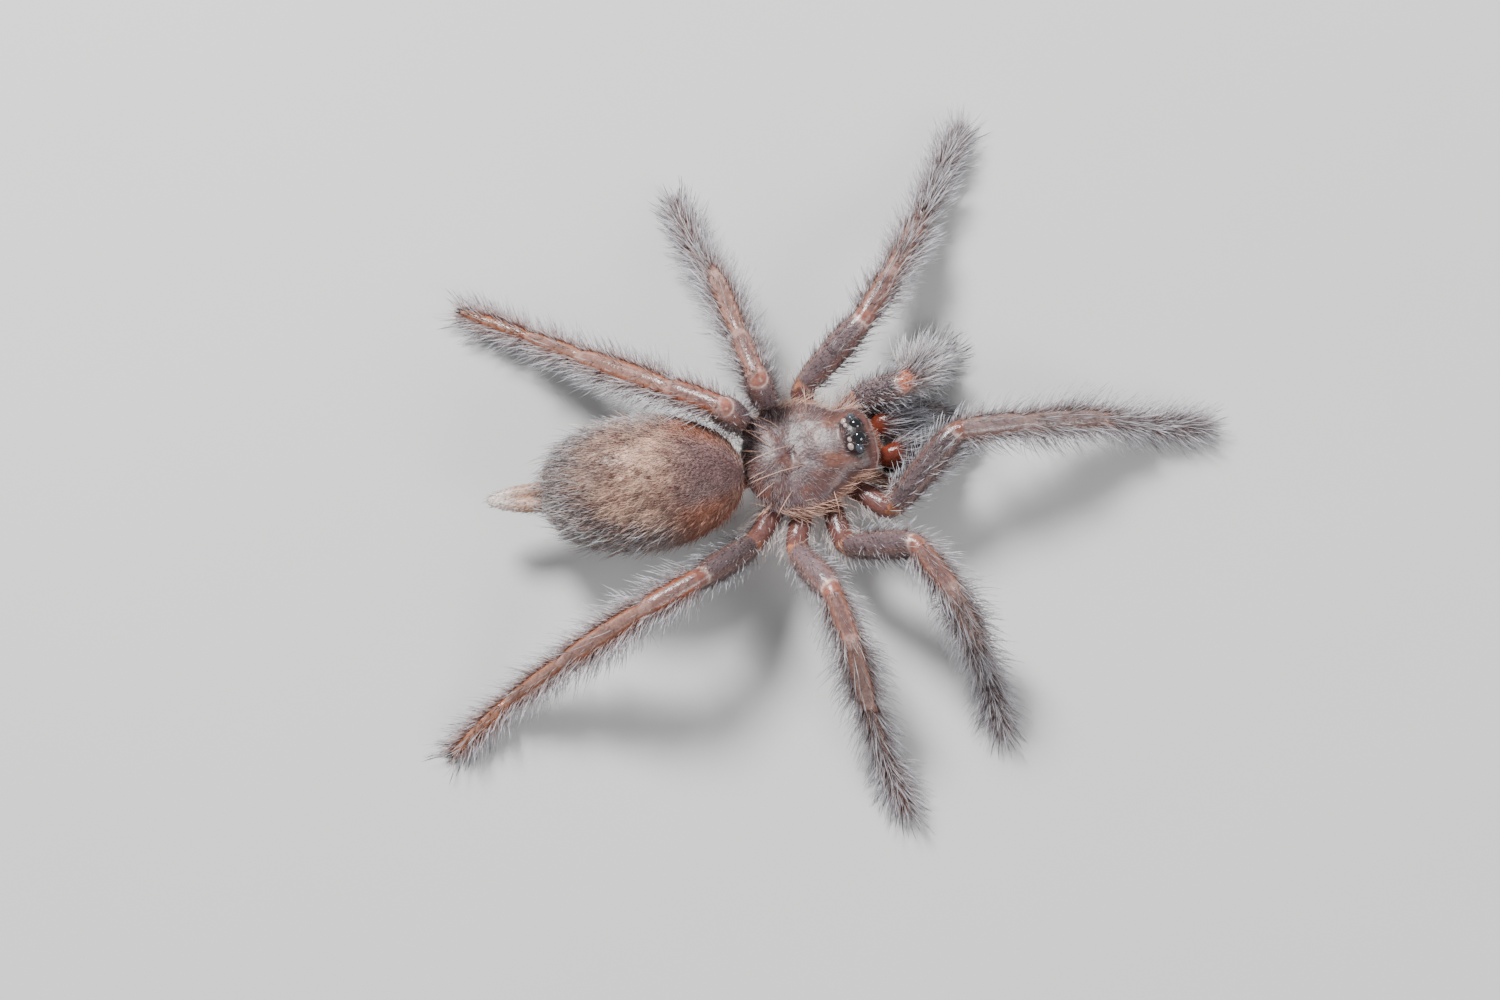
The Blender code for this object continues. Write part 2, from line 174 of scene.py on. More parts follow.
# %% [markdown]
# ## The forms under the skin
# A spider's body is a set of hard sleeves joined by soft rings. Each piece of a limb is one
# rounded sleeve with its own swelling, and the belly, jaws and breast are eggs. Every form keeps a
# middle, three axes and its girths, because the markings and the hairs ask for them later.

# %% List the forms
# Along each piece: how far, half width and half depth in millimetres.
SLEEVES = {
    "coxa": ((0, 0.4, 0.39), (0.5, 0.47, 0.46), (1, 0.44, 0.44)),
    "trochanter": ((0, 0.42, 0.42), (0.5, 0.48, 0.49), (1, 0.41, 0.44)),
    "femur": ((0, 0.41, 0.45), (0.25, 0.5, 0.6), (0.6, 0.55, 0.67), (0.9, 0.53, 0.59),
              (1, 0.49, 0.53)),
    "patella": ((0, 0.43, 0.45), (0.4, 0.48, 0.5), (0.85, 0.47, 0.49), (1, 0.43, 0.45)),
    "tibia": ((0, 0.4, 0.42), (0.3, 0.46, 0.48), (0.75, 0.45, 0.46), (1, 0.39, 0.4)),
    "metatarsus": ((0, 0.31, 0.33), (0.15, 0.34, 0.36), (0.6, 0.31, 0.32), (1, 0.27, 0.28)),
    "tarsus": ((0, 0.25, 0.26), (0.2, 0.29, 0.28), (0.65, 0.27, 0.25), (0.92, 0.21, 0.18),
               (1, 0.18, 0.16)),
    "palp_coxa": ((0, 0.28, 0.28), (0.5, 0.34, 0.34), (1, 0.3, 0.3)),
    "palp_femur": ((0, 0.3, 0.3), (0.5, 0.35, 0.36), (1, 0.32, 0.33)),
    "palp_tibia": ((0, 0.31, 0.32), (0.5, 0.35, 0.35), (1, 0.3, 0.3)),
    "palp_tarsus": ((0, 0.27, 0.27), (0.4, 0.29, 0.28), (0.85, 0.22, 0.2), (1, 0.18, 0.17)),
    "pedicel": ((0, 0.33, 0.33), (1, 0.33, 0.33)),
    "spinneret": ((0, 0.26, 0.26), (0.12, 0.31, 0.29), (0.34, 0.29, 0.27), (0.38, 0.31, 0.28),
                  (0.7, 0.29, 0.26), (1, 0.19, 0.18)),
}
LEG_FORMS = ("coxa", "femur", "patella", "tibia", "metatarsus", "tarsus")
PALP_FORMS = ("palp_coxa", "palp_femur", "palp_tibia", "palp_tarsus")
# The trochanter is the short ring of the hip. It reaches this far to both sides of the hip's joint.
INTO_COXA, INTO_FEMUR = 0.34, 0.3
FORMS = []


def upright(ahead):
    """Rows of axes: along a limb, to its side and up from its back."""
    side = unit(np.cross((0, 0, 1), ahead))
    return np.stack([ahead, side, np.cross(ahead, side)])


def add_sleeve(region, owner, start, end):
    """One rounded sleeve between two joints, with the girths of its region."""
    FORMS.append(dict(kind="sleeve", region=region, owner=owner, start=start,
                      turn=upright(unit(end - start)), length=float(np.linalg.norm(end - start)),
                      girths=np.array(SLEEVES[region])))


def add_egg(region, owner, middle, turn, half):
    """One egg with its own axes and half sizes."""
    FORMS.append(dict(kind="egg", region=region, owner=owner, start=middle, turn=turn,
                      length=float(half[0] * 2), half=np.asarray(half)))


for limb in LEGS:
    joints = JOINTS[limb]
    for region, start, end in zip(LEG_FORMS, joints, joints[1:]):
        add_sleeve(region, limb, start, end)
    into_coxa = unit(joints[0] - joints[1]) * INTO_COXA
    into_femur = unit(joints[2] - joints[1]) * INTO_FEMUR
    add_sleeve("trochanter", limb, joints[1] + into_coxa, joints[1] + into_femur)
for limb in PALPS:
    for region, start, end in zip(PALP_FORMS, JOINTS[limb], JOINTS[limb][1:]):
        add_sleeve(region, limb, start, end)
print(len(FORMS), "sleeves for the limbs")

# %% Add the body's forms
# How far the skin is drawn in from each solid, to leave room for its coat.
BELLY_COAT, BREAST_COAT, JAW_COAT = 0.2, 0.04, 0.09
# The silk fingers' tips are drawn together by this much, and their roots reach into the belly.
FINGER_SHIFT, FINGER_ROOT = 0.09, 0.15
# The body's own zero lies this far above the shield's lowest edge, half way along it.
ZERO_ABOVE_RIM = 0.16
# Two eggs fill the body under the shield: their middles and half sizes, in the body's millimetres.
FLANKS = (((-0.1, 0, -0.55), (2.35, 1.75, 0.62)), ((1.9, 0, -0.3), (1.05, 1.25, 0.55)))
belly_middle, BELLY_TURN, belly_half = own_axes("abdomen")
shield_places = corners("carapace") @ BODY_TURN.T
SHIELD_LOW, SHIELD_HIGH = shield_places.min(axis=0), shield_places.max(axis=0)
BODY_ZERO = np.array([(SHIELD_LOW[0] + SHIELD_HIGH[0]) / 2, (SHIELD_LOW[1] + SHIELD_HIGH[1]) / 2,
                      SHIELD_LOW[2] + ZERO_ABOVE_RIM])


def from_body(place):
    """A place given in the body's own millimetres, in the world's."""
    return (np.asarray(place) + BODY_ZERO) @ BODY_TURN


def to_body(places):
    """Places given in the world's millimetres, in the body's own."""
    return places @ BODY_TURN.T - BODY_ZERO


add_egg("belly", "abdomen", belly_middle, BELLY_TURN, belly_half - BELLY_COAT)
add_egg("breast", "sternum", sternum_middle, BODY_TURN, sternum_half - BREAST_COAT)
for middle, half in FLANKS:
    add_egg("flank", "sternum", from_body(middle), BODY_TURN, half)
for side, sign in SIDES:
    middle, turn, half = own_axes(f"chelicera_{side}", BODY_TURN)
    add_egg("jaw", f"chelicera_{side}", middle, turn, half - JAW_COAT)
    middle, turn, half = own_axes(f"spinneret_{side}", -BELLY_TURN)
    end = middle + turn[0] * half[0] - BELLY_TURN[1] * sign * FINGER_SHIFT
    add_sleeve("spinneret", "abdomen", middle - turn[0] * (half[0] + FINGER_ROOT), end)
middle, turn, half = own_axes("pedicel")
add_sleeve("pedicel", "abdomen", middle - turn[0] * half[0], middle + turn[0] * half[0])
print(len(FORMS), "forms in all; the belly's half sizes are", np.round(belly_half, 2), "mm")

# %% [markdown]
# ## One skin
# Each form starts as Blender's sphere with its poles along the piece, and its corners are moved
# out to the girths. The loose forms then pass through into each other, so a voxel remesh fuses
# them into one closed surface, and a little smoothing rounds the folds where two pieces meet. The
# remesh works in whole units, so the forms are made in millimetres and shrunk to metres
# afterwards.

# %% Shape the forms
# How far a sleeve runs past its joints, in its own girths, and how square its ends are.
OVERRUN = 0.8
END_SQUARENESS = 6
# How blunt the belly is in front: 2 is an even egg.
BLUNTNESS = 2.28


def sleeve_place(form, point):
    """A unit sphere's point, moved to a sleeve: nearly square along, with rounded ends."""
    over = OVERRUN * form["girths"][0, 1] / form["length"]
    part = (point.x * (1 + 2 * over) + 1) / 2
    rounding = math.sqrt(max(1 - abs(point.x) ** END_SQUARENESS, 0))
    around = unit(np.array([point.y, point.z])) if abs(point.x) < 0.9999 else np.zeros(2)
    table = form["girths"]
    width = np.interp(part, table[:, 0], table[:, 1]) * rounding
    depth = np.interp(part, table[:, 0], table[:, 2]) * rounding
    local = np.array([part * form["length"], around[0] * width, around[1] * depth])
    return form["start"] + local @ form["turn"]


def egg_place(form, point):
    """A unit sphere's point, moved to an egg. The belly is fullest behind its middle."""
    girth = 1
    if form["region"] == "belly":
        girth = 1 - 0.1 * point.x * abs(point.x) - 0.04 * point.x
        if 0 < point.x < 0.999:
            blunt = (1 - point.x**BLUNTNESS) ** (1 / BLUNTNESS)
            girth *= blunt / math.sqrt(1 - point.x**2)
    local = np.array([point.x, point.y * girth, point.z * girth]) * form["half"]
    return form["start"] + local @ form["turn"]


def add_form(bm, form):
    """A form's loose surface, added to a bmesh."""
    poles_along = Matrix.Rotation(math.radians(90), 4, "Y")
    around, along = (20, 16) if form["kind"] == "sleeve" else (40, 30)
    made = bmesh.ops.create_uvsphere(
        bm, u_segments=around, v_segments=along, radius=1, matrix=poles_along
    )
    place = sleeve_place if form["kind"] == "sleeve" else egg_place
    for vertex in made["verts"]:
        vertex.co = place(form, vertex.co)


bm = bmesh.new()
for form in FORMS:
    add_form(bm, form)
print("the loose forms have", len(bm.faces), "faces")

# %% Fuse the forms
SKIN_VOXEL = 0.088


def add_object(name, data):
    """An object in the scene."""
    made = bpy.data.objects.new(name, data)
    bpy.context.scene.collection.objects.link(made)
    return made


def new_piece(name, mesh, replaces=()):
    """An object of the animal: it rides on the one body, and may stand for solids of the frame."""
    piece = add_object(name, mesh)
    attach(piece, "root")
    if replaces:
        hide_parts(*replaces)


def mesh_from(bm, name):
    """A bmesh as a named mesh."""
    mesh = bpy.data.meshes.new(name)
    bm.to_mesh(mesh)
    bm.free()
    return mesh


def remeshed(bm, name, voxel, smoothing):
    """The loose forms of a bmesh as one closed, smoothed mesh, still in millimetres."""
    bmesh.ops.recalc_face_normals(bm, faces=bm.faces)
    loose = mesh_from(bm, "loose")
    helper = add_object("helper", loose)
    fuse = helper.modifiers.new("fuse", "REMESH")
    fuse.mode = "VOXEL"
    fuse.voxel_size = voxel
    graph = bpy.context.evaluated_depsgraph_get()
    fused = bpy.data.meshes.new_from_object(helper.evaluated_get(graph))
    fused.name = name
    bpy.data.objects.remove(helper)
    bpy.data.meshes.remove(loose)
    bm = bmesh.new()
    bm.from_mesh(fused)
    for _ in range(smoothing):
        bmesh.ops.smooth_vert(
            bm, verts=bm.verts, factor=0.5, use_axis_x=True, use_axis_y=True, use_axis_z=True
        )
    bm.to_mesh(fused)
    bm.free()
    return fused


skin_mesh = remeshed(bm, "skin", SKIN_VOXEL, smoothing=2)
print("the skin has", len(skin_mesh.polygons) * 2, "triangles")

# %% [markdown]
# ## Where is a place on the body?
# Markings and hairs both need to know which piece a place belongs to, how far along it lies, and
# how far round from the back. Each form is asked how near the place is in units of its own girth,
# and the nearest one answers. The same answer paints the skin and colours the hairs, so the two
# always agree.


# %% Describe places
def local_to(form, places):
    """Places in a form's own axes, with the girths there."""
    local = (places - form["start"]) @ form["turn"].T
    if form["kind"] == "egg":
        return local, local[:, 0] / form["length"] + 0.5, form["half"][1], form["half"][2]
    part = local[:, 0] / form["length"]
    table = form["girths"]
    width = np.interp(part, table[:, 0], table[:, 1])
    depth = np.interp(part, table[:, 0], table[:, 2])
    return local, part, width, depth


def describe(places):
    """For each place: the form's number, how far along and round it is, and the millimetres left
    to the form's end, which fall below nothing on its rounded tip."""
    count = len(places)
    nearest = np.full(count, np.inf)
    number = np.zeros(count, int)
    along, around, to_go = np.zeros((3, count))
    for index, form in enumerate(FORMS):
        local, part, width, depth = local_to(form, places)
        if form["kind"] == "egg":
            beyond = local[:, 0] / form["half"][0]
        else:
            beyond = (part - np.clip(part, 0, 1)) * form["length"] / width
        gap = np.sqrt(beyond**2 + (local[:, 1] / width) ** 2 + (local[:, 2] / depth) ** 2)
        closer = gap < nearest
        nearest[closer] = gap[closer]
        number[closer] = index
        along[closer] = np.clip(part[closer], 0, 1)
        to_go[closer] = (1 - part[closer]) * form["length"]
        around[closer] = np.arctan2(local[closer, 1], local[closer, 2])
    turns, regions, lengths = (
        np.array([form[key] for form in FORMS]) for key in ("turn", "region", "length"))
    return dict(number=number, region=regions[number], along=along, around=around,
                to_go=to_go, ahead=turns[number, 0], length=lengths[number], places=places)


def smooth_step(low, high, values):
    """0 below low, 1 above high, and an even rise between them."""
    part = np.clip((values - low) / (high - low), 0, 1)
    return part * part * (3 - 2 * part)


def ripple(places, size, seed):
    """A soft, repeatable unevenness between -1 and 1, about size millimetres across: six waves."""
    draws = np.random.default_rng(seed)
    total = np.zeros(len(places))
    for _ in range(6):
        wave = draws.normal(size=3) * 2.2 / size
        total += np.sin(places @ wave + draws.uniform(0, 6.3))
    return total / 3.2


skin_places = rows_of(skin_mesh.vertices, "co")
skin_about = describe(skin_places)
found, counts = np.unique(skin_about["region"], return_counts=True)
print(dict(zip(found.tolist(), counts.tolist())))

# %% [markdown]
# ## The markings
# The living skin is purple-grey on the back of each leg and warm orange-brown on its flanks, with
# pale pink rings round the joints and orange membrane at the hips. The belly is mottled tan and
# brown, purple in front and rust-red low on its flanks. Colours are linear, as a render reckons
# them.

# %% Choose the colours
# Each region's colour on its back, on its flanks and below.
TONES = {
    "coxa": ((0.15, 0.066, 0.06), (0.165, 0.066, 0.054), (0.24, 0.1, 0.06)),
    "trochanter": ((0.15, 0.066, 0.058), (0.19, 0.075, 0.052), (0.28, 0.11, 0.06)),
    "femur": ((0.15, 0.1, 0.105), (0.2, 0.105, 0.09), (0.24, 0.11, 0.075)),
    "patella": ((0.19, 0.1, 0.088), (0.3, 0.09, 0.045), (0.26, 0.1, 0.065)),
    "tibia": ((0.23, 0.125, 0.102), (0.35, 0.112, 0.052), (0.28, 0.12, 0.075)),
    "metatarsus": ((0.25, 0.135, 0.105), (0.36, 0.12, 0.055), (0.2, 0.12, 0.09)),
    "tarsus": ((0.3, 0.135, 0.085), (0.42, 0.13, 0.05), (0.15, 0.1, 0.085)),
    "palp_coxa": ((0.26, 0.11, 0.07), (0.3, 0.11, 0.06), (0.28, 0.12, 0.07)),
    "palp_femur": ((0.17, 0.115, 0.115), (0.24, 0.13, 0.1), (0.24, 0.12, 0.08)),
    "palp_tibia": ((0.24, 0.16, 0.14), (0.28, 0.14, 0.1), (0.22, 0.12, 0.09)),
    "palp_tarsus": ((0.19, 0.14, 0.12), (0.19, 0.12, 0.095), (0.14, 0.1, 0.085)),
    "belly": ((0.26, 0.145, 0.11), (0.19, 0.105, 0.085), (0.14, 0.085, 0.07)),
    "breast": ((0.3, 0.14, 0.08),) * 3,
    "flank": ((0.3, 0.1, 0.045),) * 3,
    "jaw": ((0.14, 0.026, 0.013), (0.17, 0.029, 0.013), (0.17, 0.03, 0.014)),
    "pedicel": ((0.3, 0.11, 0.05),) * 3,
    "spinneret": ((0.56, 0.35, 0.27), (0.45, 0.24, 0.15), (0.4, 0.25, 0.18)),
}
# What is laid over those tones, on the limbs, the belly and the shield.
TINTS = {
    "cool_flank": (0.24, 0.135, 0.11), "joint_pink": (0.55, 0.33, 0.27),
    "membrane": (0.5, 0.17, 0.06), "grey_back": (0.19, 0.14, 0.135),
    "pale_stripe": (0.66, 0.46, 0.4), "finger_tip": (0.72, 0.62, 0.56),
    "knee_red": (0.25, 0.08, 0.055), "knee_orange": (0.46, 0.12, 0.05),
    "knee_rim": (0.75, 0.5, 0.43), "jaw_hood": (0.1, 0.06, 0.065),
    "tan": (0.62, 0.4, 0.3), "blotch": (0.16, 0.06, 0.048), "shoulder": (0.36, 0.13, 0.075),
    "belly_front": (0.17, 0.098, 0.1), "belly_rust": (0.2, 0.06, 0.028),
    "painted_ridge_sheen": (0.24, 0.18, 0.18), "head_rust": (0.22, 0.082, 0.052), "patch": (0.21, 0.078, 0.05),
    "lilac": (0.14, 0.095, 0.11), "edge": (0.34, 0.14, 0.09), "face": (0.27, 0.125, 0.105),
    "front_rim": (0.8, 0.56, 0.5), "groove": (0.045, 0.025, 0.03), "mound": (0.02, 0.014, 0.016),
}
# How light each thigh is beside the others. This is partly painted light: the left third and fourth
# thighs are painted lighter against the shade that falls on them.
THIGH_TONES_AND_PAINTED_LIGHT = {"leg_1_right": 0.75, "leg_1_left": 1.25, "leg_3_right": 1.3, "leg_3_left": 1.4,
                "leg_4_left": 1.4, "leg_4_right": 0.7}
# This leg was once lost, and has grown back short and slender.
REGROWN = "leg_1_left"
OWNERS = np.array([form["owner"] for form in FORMS])
print(len(TONES), "regions and", len(TINTS), "tints")


# %% Blend colours
def blend(colours, other, amount):
    """Colours drawn towards another by an amount for each row."""
    return colours + (other - colours) * np.clip(amount, 0, 1)[:, None]


def tinted(colours, layers):
    """Colours with named tints laid over them in turn, each by an amount for each row."""
    for tint, amount in layers:
        colours = blend(colours, np.array(TINTS[tint]), amount)
    return colours


def owner_of(about):
    """The limb or body part that each described place belongs to."""
    return OWNERS[about["number"]]


def thigh_tone_and_painted_light(about):
    """How light the thigh of each place's leg is, partly painted light, and 1 off the thighs."""
    shade = np.ones(len(about["region"]))
    for limb, factor in THIGH_TONES_AND_PAINTED_LIGHT.items():
        shade[(owner_of(about) == limb) & (about["region"] == "femur")] = factor
    return shade


print("thighs are from", min(THIGH_TONES_AND_PAINTED_LIGHT.values()), "to", max(THIGH_TONES_AND_PAINTED_LIGHT.values()), "as light")


# %% Tint the limbs
def limb_tints(about):
    """What is laid over the tones of the legs, the silk fingers and the jaws."""
    region, along, from_end = about["region"], about["along"], about["to_go"]
    owner, side, from_start = owner_of(about), np.abs(about["around"]), about["length"] - from_end
    femur, knee_or_shin = region == "femur", np.isin(region, ("patella", "tibia"))
    shin = np.isin(region, ("patella", "tibia", "metatarsus", "tarsus"))
    shin = shin * ~np.isin(owner, ("leg_4_left", "leg_4_right"))
    cool = shin * smooth_step(0.3, 0.8, side) * (1 - smooth_step(1.7, 2.5, side))
    ringed = np.isin(region, ("femur", "patella", "tibia", "metatarsus"))
    near_joint = 1 - smooth_step(0.05, 0.28, np.minimum(from_start, from_end))
    hip = femur * (1 - smooth_step(0.15, 0.45, from_start))
    grey = ((owner == "leg_1_right") & knee_or_shin) * (1 - smooth_step(0.6, 1.1, side))
    striped = knee_or_shin * smooth_step(0.02, 0.1, along)
    uneven = 0.6 + 0.4 * ripple(about["places"], 0.3, 15)
    stripes = np.exp(-(((side - 0.5) / 0.06) ** 2)) * striped * uneven
    finger = (region == "spinneret") * smooth_step(0.45, 0.95, along)
    top = 1 - smooth_step(1.1, 1.7, side)
    beyond = femur * (1 - smooth_step(-0.1, 0.0, from_end))
    socket = (region == "patella") * (1 - smooth_step(0.16, 0.34, from_start))
    knee = (beyond + socket) * top * 0.85
    rim = femur * np.exp(-(((from_end - 0.04) / 0.035) ** 2)) * top
    hood = (region == "jaw") * smooth_step(0.34, 0.6, along) * (1 - smooth_step(1.5, 2.4, side))
    return [
        ("cool_flank", cool * 0.6), ("joint_pink", ringed * near_joint * 0.45),
        ("membrane", hip * 0.75), ("grey_back", grey * 0.7), ("pale_stripe", stripes * 0.4),
        ("finger_tip", finger * 0.8), ("knee_red", knee * (owner != REGROWN)),
        ("knee_orange", knee * (owner == REGROWN)), ("knee_rim", rim * 0.9),
        ("jaw_hood", hood * 0.8),
    ]


print("tints on the limbs:", [tint for tint, amount in limb_tints(skin_about)])


# %% Tint the belly and mix the markings
def belly_tints(about):
    """What is laid over the belly: a tan saddle, blotches, a purple front and rusty flanks."""
    along, side, places = about["along"], np.abs(about["around"]), about["places"]
    above = side < 2.4
    tan = np.exp(-(((along - 0.46) / 0.3) ** 2) - (side / 1.35) ** 2)
    tan = tan * smooth_step(-0.9, 0.8, ripple(places, 0.7, 3)) * 1.1
    tan = tan + 0.35 * ripple(places, 0.3, 4) * above
    blotch = smooth_step(0.1, 0.9, ripple(places, 0.36, 22)) * above
    shoulder = np.exp(-(((along - 0.8) / 0.14) ** 2) - ((side - 0.95) / 0.35) ** 2)
    front = smooth_step(0.55, 0.8, along) * (1 - smooth_step(0.45, 1.0, side))
    rust = smooth_step(0.5, 0.9, along) * smooth_step(1.1, 1.6, side)
    layers = [("tan", tan), ("blotch", blotch * 0.65), ("shoulder", shoulder * 0.8),
              ("belly_front", front * 0.85), ("belly_rust", rust * 0.9)]
    return [(tint, (about["region"] == "belly") * amount) for tint, amount in layers]


def markings(about):
    """The skin's colour at each described place."""
    tones = np.zeros((len(about["region"]), 3, 3))
    for name, colours in TONES.items():
        tones[about["region"] == name] = colours
    side, places = np.abs(about["around"]), about["places"]
    colours = blend(tones[:, 0], tones[:, 1], smooth_step(0.3, 0.8, side))
    colours = blend(colours, tones[:, 2], smooth_step(1.7, 2.5, side))
    colours = tinted(colours, limb_tints(about) + belly_tints(about))
    shade = 1 + 0.12 * ripple(places, 0.5, 5) + 0.08 * ripple(places, 0.2, 6)
    # Thighs are made lighter or darker here, partly as painted light.
    shade = shade * thigh_tone_and_painted_light(about)
    return np.clip(colours * shade[:, None], 0.005, 1)


skin_colours = markings(skin_about)
print("the skin's mean colour is", np.round(skin_colours.mean(axis=0), 3))


# %% Paint the skin
def wetness(about):
    """How glossy the skin is: the hips and the jaws' bases shine, the rest is satin."""
    region = about["region"]
    wet = np.isin(region, ("coxa", "trochanter", "palp_coxa", "breast", "flank", "pedicel"))
    jaw = (region == "jaw") * (1 - smooth_step(0.3, 0.6, about["along"]))
    back = np.isin(region, ("femur", "patella", "tibia", "metatarsus", "tarsus"))
    back = back * (1 - smooth_step(0.8, 1.1, np.abs(about["around"]))) * 0.75
    return np.clip(0.25 + wet * 0.75 + jaw * 0.75 + back, 0, 1)


def paint(mesh, colours, gloss=1):
    """Stores a colour on each corner of a mesh, with its gloss as the fourth number."""
    layer = mesh.attributes.new("paint", "FLOAT_COLOR", "POINT")
    rows = np.ones((len(colours), 4), np.float32)
    rows[:, :3] = colours
    rows[:, 3] = gloss
    layer.data.foreach_set("color", rows.ravel())


paint(skin_mesh, skin_colours, wetness(skin_about))
print("painted", len(skin_places), "corners of the skin")

# %% [markdown]
# ## Finishes
# One shader group makes the fine unevenness of living cuticle, for every hard surface: darker and
# lighter specks, and a height for a Bump node. Each material then sets its own gloss. The numbers
# that are the same all over a surface stay on the shader's own sockets, where an export can read
# them.


# %% Build the cuticle group
def feed(tree, node, feeds):
    """Sets a node's inputs to values, or wires them to other nodes' outputs."""
    for key, value in feeds.items():
        if isinstance(value, bpy.types.NodeSocket):
            tree.links.new(value, node.inputs[key])
        else:
            node.inputs[key].default_value = value


def add_node(tree, kind, feeds=None, **settings):
    """A new node with its settings and its inputs."""
    made = tree.nodes.new(kind)
    for key, value in settings.items():
        setattr(made, key, value)
    feed(tree, made, feeds or {})
    return made


def multiplied(tree, factor, first, second):
    """A colour multiplied by another."""
    mixed = add_node(tree, "ShaderNodeMix", data_type="RGBA", blend_type="MULTIPLY")
    feed(tree, mixed, {"Factor": factor, 6: first, 7: second})
    return mixed.outputs[2]


def new_group(name, inputs, outputs):
    """An empty node group: itself, its input sockets and its output node."""
    group = bpy.data.node_groups.new(name, "ShaderNodeTree")
    for socket, kind, value in inputs:
        made = group.interface.new_socket(socket, in_out="INPUT", socket_type=kind)
        made.default_value = value
    for socket, kind in outputs:
        group.interface.new_socket(socket, in_out="OUTPUT", socket_type=kind)
    given = group.nodes.new("NodeGroupInput")
    return group, given.outputs, group.nodes.new("NodeGroupOutput")


def cuticle_group():
    """Specks and pores on object coordinates: a colour, a roughness and a height."""
    group, given, result = new_group(
        "cuticle",
        [("Colour", "NodeSocketColor", (0.5, 0.5, 0.5, 1)), ("Scale", "NodeSocketFloat", 9000.0),
         ("Speckle", "NodeSocketFloat", 0.35), ("Gloss", "NodeSocketFloat", 0.35)],
        [("Colour", "NodeSocketColor"), ("Roughness", "NodeSocketFloat"),
         ("Height", "NodeSocketFloat")],
    )
    where = add_node(group, "ShaderNodeTexCoord").outputs["Object"]
    pattern = {"Vector": where, "Scale": given["Scale"]}
    noise = add_node(group, "ShaderNodeTexNoise", {**pattern, "Detail": 5.0, "Roughness": 0.6})
    specks = noise.outputs["Fac"]
    pores = add_node(group, "ShaderNodeTexVoronoi", pattern)
    spread = add_node(group, "ShaderNodeMapRange", {
        "From Min": 0.3, "From Max": 0.7, "To Min": 0.55, "To Max": 1.4, "Value": specks})
    rough = add_node(group, "ShaderNodeMath", {0: specks, 1: 0.16, 2: given["Gloss"]},
                     operation="MULTIPLY_ADD")
    height = add_node(group, "ShaderNodeMath", {0: pores.outputs["Distance"], 1: 0.5, 2: specks},
                      operation="MULTIPLY_ADD")
    feed(group, result, {
        "Colour": multiplied(group, given["Speckle"], given["Colour"], spread.outputs["Result"]),
        "Roughness": rough.outputs["Value"],
        "Height": height.outputs["Value"],
    })
    return group


CUTICLE = cuticle_group()
print("the cuticle group has", len(CUTICLE.nodes), "nodes")

# %% Make the materials
# The roughness of a painted surface where its gloss is nothing, and its pores' height in metres.
DULL = 0.5
PORE_HEIGHT = 0.00004


def new_material(name):
    """A material, its node tree and its main shader."""
    made = bpy.data.materials.new(name)
    made.use_nodes = True
    return made, made.node_tree, made.node_tree.nodes["Principled BSDF"]


def cuticle_material(name, gloss, speckle, bump, scale=9000.0, colour=None, coat=0.0, shine=0.5,
                     coat_roughness=0.18):
    """A hard or soft skin: painted, or of one colour, broken up by the cuticle group."""
    made, tree, shader = new_material(name)
    if colour:
        look = {"Colour": (*colour, 1), "Gloss": gloss}
    else:
        painted = add_node(tree, "ShaderNodeAttribute", attribute_name="paint").outputs
        dullness = add_node(tree, "ShaderNodeMapRange", {
            "To Min": DULL, "To Max": gloss, "Value": painted["Alpha"]})
        look = {"Colour": painted["Color"], "Gloss": dullness.outputs["Result"]}
    look.update({"Scale": scale, "Speckle": speckle})
    detail = add_node(tree, "ShaderNodeGroup", look, node_tree=CUTICLE).outputs
    relief = add_node(tree, "ShaderNodeBump", {
        "Strength": bump, "Distance": PORE_HEIGHT, "Height": detail["Height"]})
    feed(tree, shader, {
        "Base Color": detail["Colour"], "Roughness": detail["Roughness"],
        "Normal": relief.outputs["Normal"], "Specular IOR Level": shine, "Coat Weight": coat,
        "Coat Roughness": coat_roughness})
    return made


def finish_mesh(mesh, material):
    """Shrinks a mesh from millimetres to metres, smooths its shading and gives it a material."""
    mesh.transform(Matrix.Scale(MM, 4))
    mesh.shade_smooth()
    mesh.materials.clear()
    mesh.materials.append(material)


SKIN = cuticle_material("living_skin", gloss=0.12, speckle=0.6, bump=0.45, coat=0.12)
SHIELD = cuticle_material("shield_cuticle", gloss=0.3, speckle=0.7, bump=0.5, scale=7000.0,
                          coat=0.06, shine=0.45)
HORN = cuticle_material("black_horn", 0.12, 0.5, 0.2, colour=(0.02, 0.009, 0.006), coat=0.3)
skin_quads = rows_of(skin_mesh.polygons, "vertices", 4, int)
skin_normals = rows_of(skin_mesh.vertices, "normal")
KEPT_APART = ("carapace", "eye_tubercle", "fang_left", "fang_right")
flesh_nodes = [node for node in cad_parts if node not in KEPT_APART]
finish_mesh(skin_mesh, SKIN)
new_piece("skin", skin_mesh, flesh_nodes)
print("the skin stands for", len(flesh_nodes), "solids")

# %% [markdown]
# ## The shield
# The carapace is one hard plate with a dimple, the fovea, from which faint grooves run out between
# the legs. Its outline is the frame's, so it starts as a copy of that solid. A low mound for the
# eyes is fused to it by a fine remesh. The whole is then drawn in by the thickness of its down,
# and the grooves are pressed into it corner by corner.

# %% Place the eye mound
# Each eye along and across the mound, its radius in millimetres, how oval it is, and its finish.
EYES = {
    "front_middle": (0.14, 0.3, 0.285, 1.0, "eye_black"),
    "front_side": (0.05, 0.68, 0.18, 1.2, "eye_grey"),
    "rear_side": (-0.28, 0.55, 0.13, 1.25, "eye_amber"),
    "rear_middle": (-0.27, 0.31, 0.095, 1.2, "eye_amber"),
}
MOUND_HALF = np.array((0.52, 0.83, 0.36))
